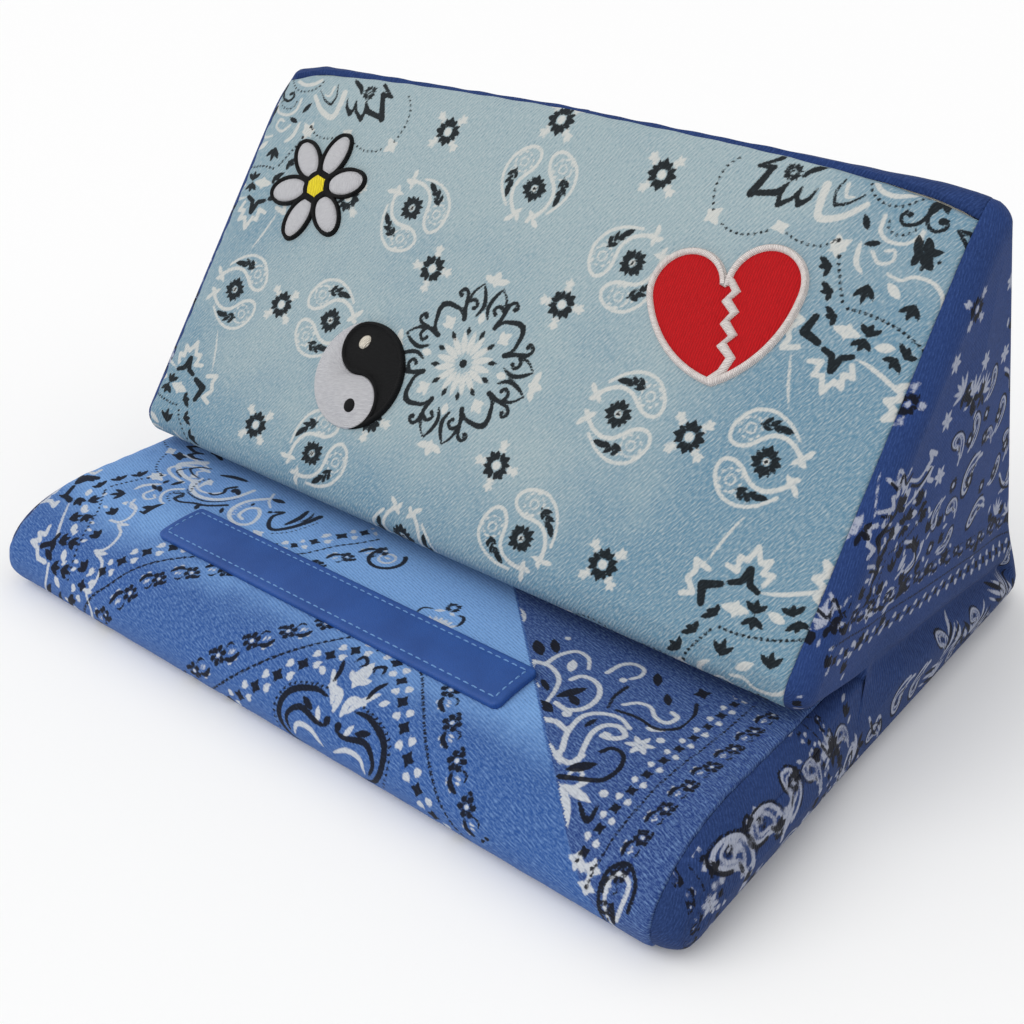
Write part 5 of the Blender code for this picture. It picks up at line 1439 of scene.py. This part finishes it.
def leatherette(name, colour, deep):
    """Coated leather cloth: embossed grain of 0.7 mm pebbles, with painted shade in its valleys, and a soft
    shine.
    """
    material = bpy.data.materials.new(name)
    material.use_nodes = True
    tree = material.node_tree
    shader = tree.nodes["Principled BSDF"]
    cloth = add(tree, "Attribute", out="Vector", attribute_name="cloth")
    pebble = add(tree, "TexVoronoi", {"Vector": cloth, "Scale": 1.5}, feature="DISTANCE_TO_EDGE")
    broad = add(tree, "TexNoise", {"Vector": cloth, "Scale": 0.06, "Detail": 3.0})
    clouds = add(tree, "MapRange", (broad, 0.3, 0.75), **SOFT)
    tint = add(tree, "Mix", {0: clouds, 6: linear(colour), 7: linear(deep)}, **COLOUR)
    # Painted shade: the valleys between the pebbles are darkened towards a deep blue.
    valley_shade = add(tree, "MapRange", (pebble, 0.0, 0.12, 0.3, 0.0), **SOFT)
    tint = add(tree, "Mix", {0: valley_shade, 6: tint, 7: linear("#1C3468")}, **COLOUR)
    tree.links.new(tint, shader.inputs["Base Color"])
    height = add(tree, "MapRange", (pebble, 0.0, 0.2), **SOFT)
    bump = add(tree, "Bump", {"Strength": 0.3, "Distance": 0.00015, "Height": height})
    tree.links.new(bump, shader.inputs["Normal"])
    rough = add(tree, "MapRange", (broad, 0.2, 0.8, 0.5, 0.62), **SOFT)
    tree.links.new(rough, shader.inputs["Roughness"])
    shader.inputs["Specular IOR Level"].default_value = 0.35
    return material


grid, heights = strip_grid()
strip_faces = closed_sheet(*heights.shape)
add_laid("grip_strip_leatherette", [(grid, heights, strip_faces, grid)], on_ledge,
         leatherette("blue_leatherette", "#244F97", "#1F4689"), ["grip_strip"])


def capsules(starts, ends, radius, base, lift):
    """Short raised threads between flat points: each a rounded rod that dips at both ends."""
    t = np.linspace(0, 1, 7)[:, None]
    angle = np.linspace(0, 2 * math.pi, 8, endpoint=False)[None]
    girth = radius * np.sqrt(np.maximum(1 - (2 * t - 1) ** 4, 0.02))
    parts = []
    for start, end in zip(starts, ends):
        along = (end - start) / np.linalg.norm(end - start)
        aside = np.array([-along[1], along[0]])
        line = start + (end - start) * t
        grid = line[:, None] + aside * (girth * np.cos(angle))[..., None]
        heights = base + lift * np.sin(math.pi * t) + girth * np.sin(angle)
        index = np.arange(56).reshape(7, 8)
        looped = np.concatenate([index, index[:, :1]], 1)
        faces = np.stack([looped[:-1, :-1], looped[:-1, 1:], looped[1:, 1:], looped[1:, :-1]], -1)
        faces = faces.reshape(-1, 4).tolist() + [index[0, ::-1].tolist(), index[-1].tolist()]
        parts.append((grid, heights, faces, grid))
    return parts


STITCH_INSIDE, STITCH_PITCH, THREAD_RADIUS, STITCH_BASE, STITCH_LIFT = 2.9, 3.3, 0.26, 2.12, 0.22
low, high = STRIP_LOW + STITCH_INSIDE, STRIP_HIGH - STITCH_INSIDE
corners = np.array([low, (high[0], low[1]), high, (low[0], high[1])])
starts, ends = [], []
for a, b in zip(corners, np.roll(corners, -1, 0)):
    count = round(np.linalg.norm(b - a) / STITCH_PITCH)
    for k in range(count):
        starts.append(a + (b - a) * (k + 0.12) / count)
        ends.append(a + (b - a) * (k + 0.88) / count)
add_laid("grip_strip_stitches", capsules(starts, ends, THREAD_RADIUS, STITCH_BASE, STITCH_LIFT), on_ledge,
         satin("light_blue_thread", "#7FA9DC", "#5E8CC8", 0.3), [])

# Heart patch
# Iron-on patch: red twill in the shape of a broken heart, with a satin-stitched white border and a
# zigzag crack of white thread down its middle.
HEART_PLACE, HEART_TURN = (75.5, 118.9), math.radians(15)
front_normals = normals(front)


def on_front(x, v, height):
    """Points at a length and a distance up the face, raised by a height."""
    x, v = x + 1.4, v - 1.1
    low = GROOVE_HIGH + 0.3
    place, normal = footing(front, front_normals, (x + SEAM_LEFT) / (SEAM_LEFT + SEAM_RIGHT) * FRONT_CELLS,
                            (v - low) / (top_seam(x) - low) * FRONT_ROWS)
    return place + normal * height[..., None]


def turned_to(points, centre, turn):
    """Turn flat points by an angle and move them to a centre."""
    c, s = math.cos(turn), math.sin(turn)
    return points @ np.array([[c, s], [-s, c]]) + np.array(centre)


def dome(outline, steps, edge=0.55):
    """Rings of a closed outline drawn in to its middle, closer near the edge, and the faces, both capped."""
    share = 1 - (1 - np.linspace(0, 0.985, steps)) ** (1 / edge * 0.5 + 0.3)
    middle = outline.mean(0)
    grid = outline[:, None] * (1 - share)[None, :, None] + middle * share[None, :, None]
    index = np.arange(len(outline) * steps).reshape(len(outline), steps)
    looped = np.concatenate([index, index[:1]])
    faces = np.stack([looped[:-1, :-1], looped[1:, :-1], looped[1:, 1:], looped[:-1, 1:]], -1)
    return grid, faces.reshape(-1, 4).tolist() + [index[:, -1].tolist(), index[::-1, 0].tolist()]


def away_from(grid, outline):
    """Distance of each grid point to a closed outline: the least over its segments."""
    best = np.full(grid.shape[:-1], 99.0)
    for a, b in zip(outline, np.roll(outline, -1, 0)):
        best = np.minimum(best, segment(grid[..., 0], grid[..., 1], a, b)[1])
    return best


LOBE_X, LOBE_RADIUS, FLANK_RADIUS, TIP_Y = 13.2, 13.7, 40.0, -32.0


def heart(inset, count=90):
    """The heart drawn in by an inset: from cleft to tip a circle's arc, then a longer arc that touches it."""
    lobe, tip = np.array([LOBE_X, 0.0]), np.array([0.0, TIP_Y])
    apart = tip - lobe
    gap = np.linalg.norm(apart)
    apart = apart / gap
    between = FLANK_RADIUS - LOBE_RADIUS
    along = (between ** 2 - FLANK_RADIUS ** 2 + gap ** 2) / (2 * gap)
    aside = math.sqrt(between ** 2 - along ** 2)
    middle = lobe + apart * along + np.array([apart[1], -apart[0]]) * aside
    join_angle = math.atan2(*(lobe - middle)[::-1])
    first = np.linspace(math.acos(-min(LOBE_X / (LOBE_RADIUS - inset), 1)), join_angle, 60)
    second = np.linspace(join_angle, -math.acos(-middle[0] / (FLANK_RADIUS - inset)), 40)
    half = np.concatenate([lobe + (LOBE_RADIUS - inset) * np.stack([np.cos(first), np.sin(first)], 1),
                           middle + (FLANK_RADIUS - inset) * np.stack([np.cos(second), np.sin(second)],
                                                                      1)[1:]])
    half = even(half, count)
    half[[0, -1], 0] = 0
    return np.concatenate([half, half[-2:0:-1] * [-1, 1]])


def along_of(grid):
    """Thread coordinates of a band: distance along its middle line, and across."""
    middle = grid[:, grid.shape[1] // 2]
    marks = np.concatenate([[0], np.cumsum(np.linalg.norm(np.diff(middle, axis=0), axis=1))])
    across = np.linalg.norm(grid - grid[:, :1], axis=2)
    return np.stack([marks[:, None] + 0 * across, across], -1)


def band_heights(shape, edge, top, power=0.5):
    """Heights across a band: a ridge whose rounding is a power curve of the place across."""
    u = np.linspace(-1, 1, shape[1])
    return np.repeat((edge + (top - edge) * (1 - np.abs(u) ** 2.4) ** power)[None], shape[0], 0)


crack_left = np.array([(73.6, 122.6), (78.2, 118.2), (76.2, 114.2), (80.5, 111.4), (78.7, 107.2), (83, 104.3),
                       (80.5, 100.3), (85, 97.6), (84.0, 93.4), (80.6, 89.4)])
crack_right = np.array([(77.6, 122.2), (81.4, 118.9), (79.3, 115.8), (83.6, 112.6), (81.5, 109.2),
                        (86, 105.6), (83.6, 102.2), (88.4, 98.6), (87.2, 93.6), (84.4, 88.6)])
rim = np.stack([turned_to(heart(inset), HEART_PLACE, HEART_TURN) for inset in np.linspace(-0.1, 2.4, 9)], 1)
edges = [np.concatenate([a + (b - a) * np.linspace(0, 1, 9)[:-1, None] for a, b in zip(line, line[1:])]
                        + [line[-1:]]) for line in (crack_left, crack_right)]
crack = np.stack([edges[0] * (1 - u) + edges[1] * u for u in np.linspace(0, 1, 9)], 1)
field, field_faces = dome(turned_to(heart(1.0), HEART_PLACE, HEART_TURN), 30)
from_rim = away_from(field, turned_to(heart(2.0, 40), HEART_PLACE, HEART_TURN))
from_crack = np.min([segment(field[..., 0], field[..., 1], a, b)[1]
                     for a, b in zip((crack_left + crack_right) / 2, ((crack_left + crack_right) / 2)[1:])],
                    0)
pad = np.minimum(from_rim, np.maximum(from_crack - 1.6, 0))
field_heights = 0.45 + 0.75 * (1 - np.exp(-pad / 2.2))
field_heights[:, 0] = 0.0
red = satin("red_satin_twill", "#BA0A13", "#A2060E", 0.9, 0.75, 0.0)
add_laid("heart_red_twill", [(field, field_heights, field_faces, field)], on_front, red,
         ["heart_patch_field"])
white_satin = satin("white_embroidery_thread", "#E6DFDB", "#B9AFAC", 0.55, 0.55)
add_laid("heart_white_border",
         [(rim, band_heights(rim.shape, 0.0, 1.65), closed_sheet(*rim.shape[:2], ring=True), along_of(rim)),
          (crack, band_heights(crack.shape, 0.3, 1.55), closed_sheet(*crack.shape[:2]), along_of(crack))],
         on_front, white_satin, ["heart_patch_border"])

# Yin-yang patch
# Embroidered iron-on disc in two comma halves: a grey satin one with a thin pale rim and a black one
# with a raised satin edge. Each holds an eye of the other's colour.
YIN_YANG_PLACE, YIN_YANG_TURN, YIN_YANG_R = (-49.8, 54.4), math.radians(11.6), 20.3


def comma(turn):
    """Grid of one half of the disc, from the curve down its middle to its rim."""
    t = np.linspace(0.012, 0.988, 121)
    sway = np.where(t < 0.5, math.pi / 2 + t * 2 * math.pi, 1.5 * math.pi - t * 2 * math.pi)
    head = np.where(t < 0.5, 0.5, -0.5)
    inner = np.stack([0.5 * np.cos(sway), head + 0.5 * np.sin(sway)], 1)
    outer = np.stack([np.sin(t * math.pi), np.cos(t * math.pi)], 1)
    u = (1 - np.cos(np.linspace(0, math.pi, 41))) / 2
    grid = (inner[:, None] * (1 - u)[None, :, None] + outer[:, None] * u[None, :, None]) * YIN_YANG_R
    outline = np.concatenate([grid[:, 0], grid[-1, 1:-1], grid[::-1, -1], grid[0, -2:0:-1]])[::3]
    return turned_to(grid, YIN_YANG_PLACE, YIN_YANG_TURN + turn), turned_to(outline, YIN_YANG_PLACE,
                                                                           YIN_YANG_TURN + turn)


def comma_part(turn, edge_width, edge_top, plateau, crown):
    """A comma half: the greater of a rounded ridge along its edge and a plateau with a soft crown."""
    grid, outline = comma(turn)
    d = away_from(grid, outline)
    u = np.clip(d / edge_width, 0, 1)
    ridge = edge_top * np.sqrt(np.maximum(1 - np.abs(2 * u - 1) ** 2.6, 0)) * (d < edge_width)
    inner = plateau * smooth(0.3 * edge_width, edge_width, d) + crown * smooth(edge_width, 8, d)
    heights = np.maximum(ridge, inner)
    heights[[0, -1]] = 0
    heights[:, [0, -1]] = 0
    faces = closed_sheet(*heights.shape)
    return grid, heights, faces, along_of(grid)


def spot(centre, radii, turn, low, high, count=40):
    """An oval pad of stitches, from its low edge up to its high middle by the root of 1 less the cube."""
    angle = np.linspace(0, 2 * math.pi, count, endpoint=False)
    outline = turned_to(np.stack([radii[0] * np.cos(angle), radii[1] * np.sin(angle)], 1), centre, turn)
    grid, faces = dome(outline, 9)
    share = np.linalg.norm(grid - np.array(centre), axis=2) / np.linalg.norm(grid[:, :1] - centre, axis=2)
    heights = low + (high - low) * np.sqrt(np.maximum(1 - share ** 3, 0))
    return grid, heights, faces, turned_to(grid - np.array(centre), (0, 0), -turn)


grey = satin("grey_satin_thread", "#C9C9CC", "#A9A9AE", 0.45, 0.4)
black = satin("black_embroidery_thread", "#101113", "#070708", 0.5, 0.75, 0.0)
cream = satin("cream_thread", "#E6DFD2", "#A79F90", 0.6, 0.5)
add_laid("yin_yang_light_half", [comma_part(math.pi, 1.3, 1.0, 1.0, 0.9)], on_front, grey,
         ["yin_yang_patch_light"])
add_laid("yin_yang_dark_half", [comma_part(0.0, 2.0, 1.9, 1.15, 0.25)], on_front, black,
         ["yin_yang_patch_dark"])
add_laid("yin_yang_light_eye", [spot((-52.2, 66.3), (2.3, 3.1), -0.5, 0.9, 2.3)], on_front, cream,
         ["yin_yang_eye_light"])
add_laid("yin_yang_dark_eye", [spot((-47.3, 42.9), (2.9, 3.0), 0.0, 1.0, 2.4)], on_front, black,
         ["yin_yang_eye_dark"])

# Daisy patch
# Embroidered iron-on flower: six padded grey-white petals with raised black edges round a yellow
# button of seed stitches.
DAISY_PLACE, DAISY_TURN = (-106.0, 117.2), math.radians(17)
PETAL_REACH, PETAL_RADII, EDGE_RADII = 13.9, (8.6, 5.0), (9.9, 6.25)
angle = np.linspace(0, 2 * math.pi, 240, endpoint=False)
ray = np.stack([np.cos(angle), np.sin(angle)], 1)
off = np.mod(angle + math.pi / 6, math.pi / 3) - math.pi / 6
long_half, wide_half = EDGE_RADII
a = (np.cos(off) / long_half) ** 2 + (np.sin(off) / wide_half) ** 2
b = -2 * np.cos(off) * PETAL_REACH / long_half ** 2
root = b ** 2 - 4 * a * ((PETAL_REACH / long_half) ** 2 - 1)
petal_end = np.where(root > 0, (-b + np.sqrt(np.maximum(root, 0))) / (2 * a), 0)
outline = turned_to(ray * np.maximum(7.6, petal_end)[:, None], DAISY_PLACE, DAISY_TURN)
grid, faces = dome(outline, 40)
petals = []
for k in range(6):
    turn = DAISY_TURN + k * math.pi / 3
    centre = np.array(DAISY_PLACE) + PETAL_REACH * np.array([math.cos(turn), math.sin(turn)])
    petals.append((centre, turn))
local = [turned_to(grid - centre, (0, 0), -turn) for centre, turn in petals]
oval = np.min([(np.hypot(p[..., 0] / PETAL_RADII[0], p[..., 1] / PETAL_RADII[1]) - 1) * 5.5 for p in local],
              0)
middle = np.linalg.norm(grid - np.array(DAISY_PLACE), axis=2) - 5.3
rim_of = np.minimum(np.abs(oval - 0.65), np.abs(middle - 0.5))
heights = 0.35 + 1.25 * np.sqrt(np.maximum(1 - (rim_of / 1.0) ** 2, 0))
heights[:, 0] = 0
threads = np.stack([np.arctan2(grid[..., 1] - DAISY_PLACE[1], grid[..., 0] - DAISY_PLACE[0]) * 14, middle],
                   -1)
add_laid("daisy_black_outline", [(grid, heights, faces, threads)], on_front, black,
         ["daisy_patch_backing"])
add_laid("daisy_petals", [spot(centre, PETAL_RADII, turn, 0.3, 1.75, 56) for centre, turn in petals],
         on_front, grey, [f"daisy_petal_{k}" for k in range(1, 7)])
yellow = satin("yellow_embroidery_thread", "#EAD82A", "#C4AE10", 0.8, 0.6)
add_laid("daisy_yellow_centre", [spot(DAISY_PLACE, (5.4, 5.4), 0.6, 0.4, 1.9, 48)], on_front, yellow,
         ["daisy_centre"])

# Camera
# It stands where the photograph was taken from, turned to the stand's right end.
camera_data = bpy.data.cameras.new("camera")
camera_data.lens = 47.238
camera_data.sensor_width = 36.0
camera = bpy.data.objects.new("camera", camera_data)
bpy.context.scene.collection.objects.link(camera)
yaw, pitch, roll = math.radians(39.089), math.radians(29.487), math.radians(0.263)
ahead = np.array([-math.sin(yaw), math.cos(yaw), 0.0])
right = np.array([math.cos(yaw), math.sin(yaw), 0.0])
up = np.array([0.0, 0.0, 1.0])
gaze = math.cos(pitch) * ahead - math.sin(pitch) * up
level = math.sin(pitch) * ahead + math.cos(pitch) * up
axis_x = math.cos(roll) * right + math.sin(roll) * level
axis_y = math.cos(roll) * level - math.sin(roll) * right
turned = Matrix(np.stack([axis_x, axis_y, -gaze], 1).tolist()).to_4x4()
camera.matrix_world = Matrix.Translation((0.27711834, -0.3396391, 0.28053906)) @ turned
bpy.context.scene.camera = camera

# Studio
# White floor and world, with one wide soft light from the front left, high up.
white_floor = bpy.data.materials.new("white_floor")
white_floor.use_nodes = True
shader = white_floor.node_tree.nodes["Principled BSDF"]
shader.inputs["Base Color"].default_value = linear("#FBFBFB")
shader.inputs["Roughness"].default_value = 0.9
floor_mesh = bpy.data.meshes.new("floor")
floor_mesh.from_pydata([(-6, -6, 0), (6, -6, 0), (6, 6, 0), (-6, 6, 0)], [], [(0, 1, 2, 3)])
floor_mesh.materials.append(white_floor)
floor = bpy.data.objects.new("floor", floor_mesh)
bpy.context.scene.collection.objects.link(floor)
floor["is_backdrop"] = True

sun_data = bpy.data.lights.new("key", "SUN")
sun_data.angle = math.radians(60)
sun_data.energy = 1.25
sun = bpy.data.objects.new("key", sun_data)
sun.rotation_euler = (math.radians(38), math.radians(-22), 0)
bpy.context.scene.collection.objects.link(sun)

world = bpy.data.worlds.new("studio")
bpy.context.scene.world = world
world.use_nodes = True
sky = world.node_tree
background = sky.nodes["Background"]
seen = add(sky, "LightPath", out="Is Camera Ray")
sky.links.new(add(sky, "Mix", {0: seen, 6: (0.74, 0.74, 0.74, 1), 7: (1, 1, 1, 1)}, **COLOUR),
              background.inputs["Color"])
background.inputs["Strength"].default_value = 1.0

bpy.context.scene.view_settings.view_transform = "Standard"

low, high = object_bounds()
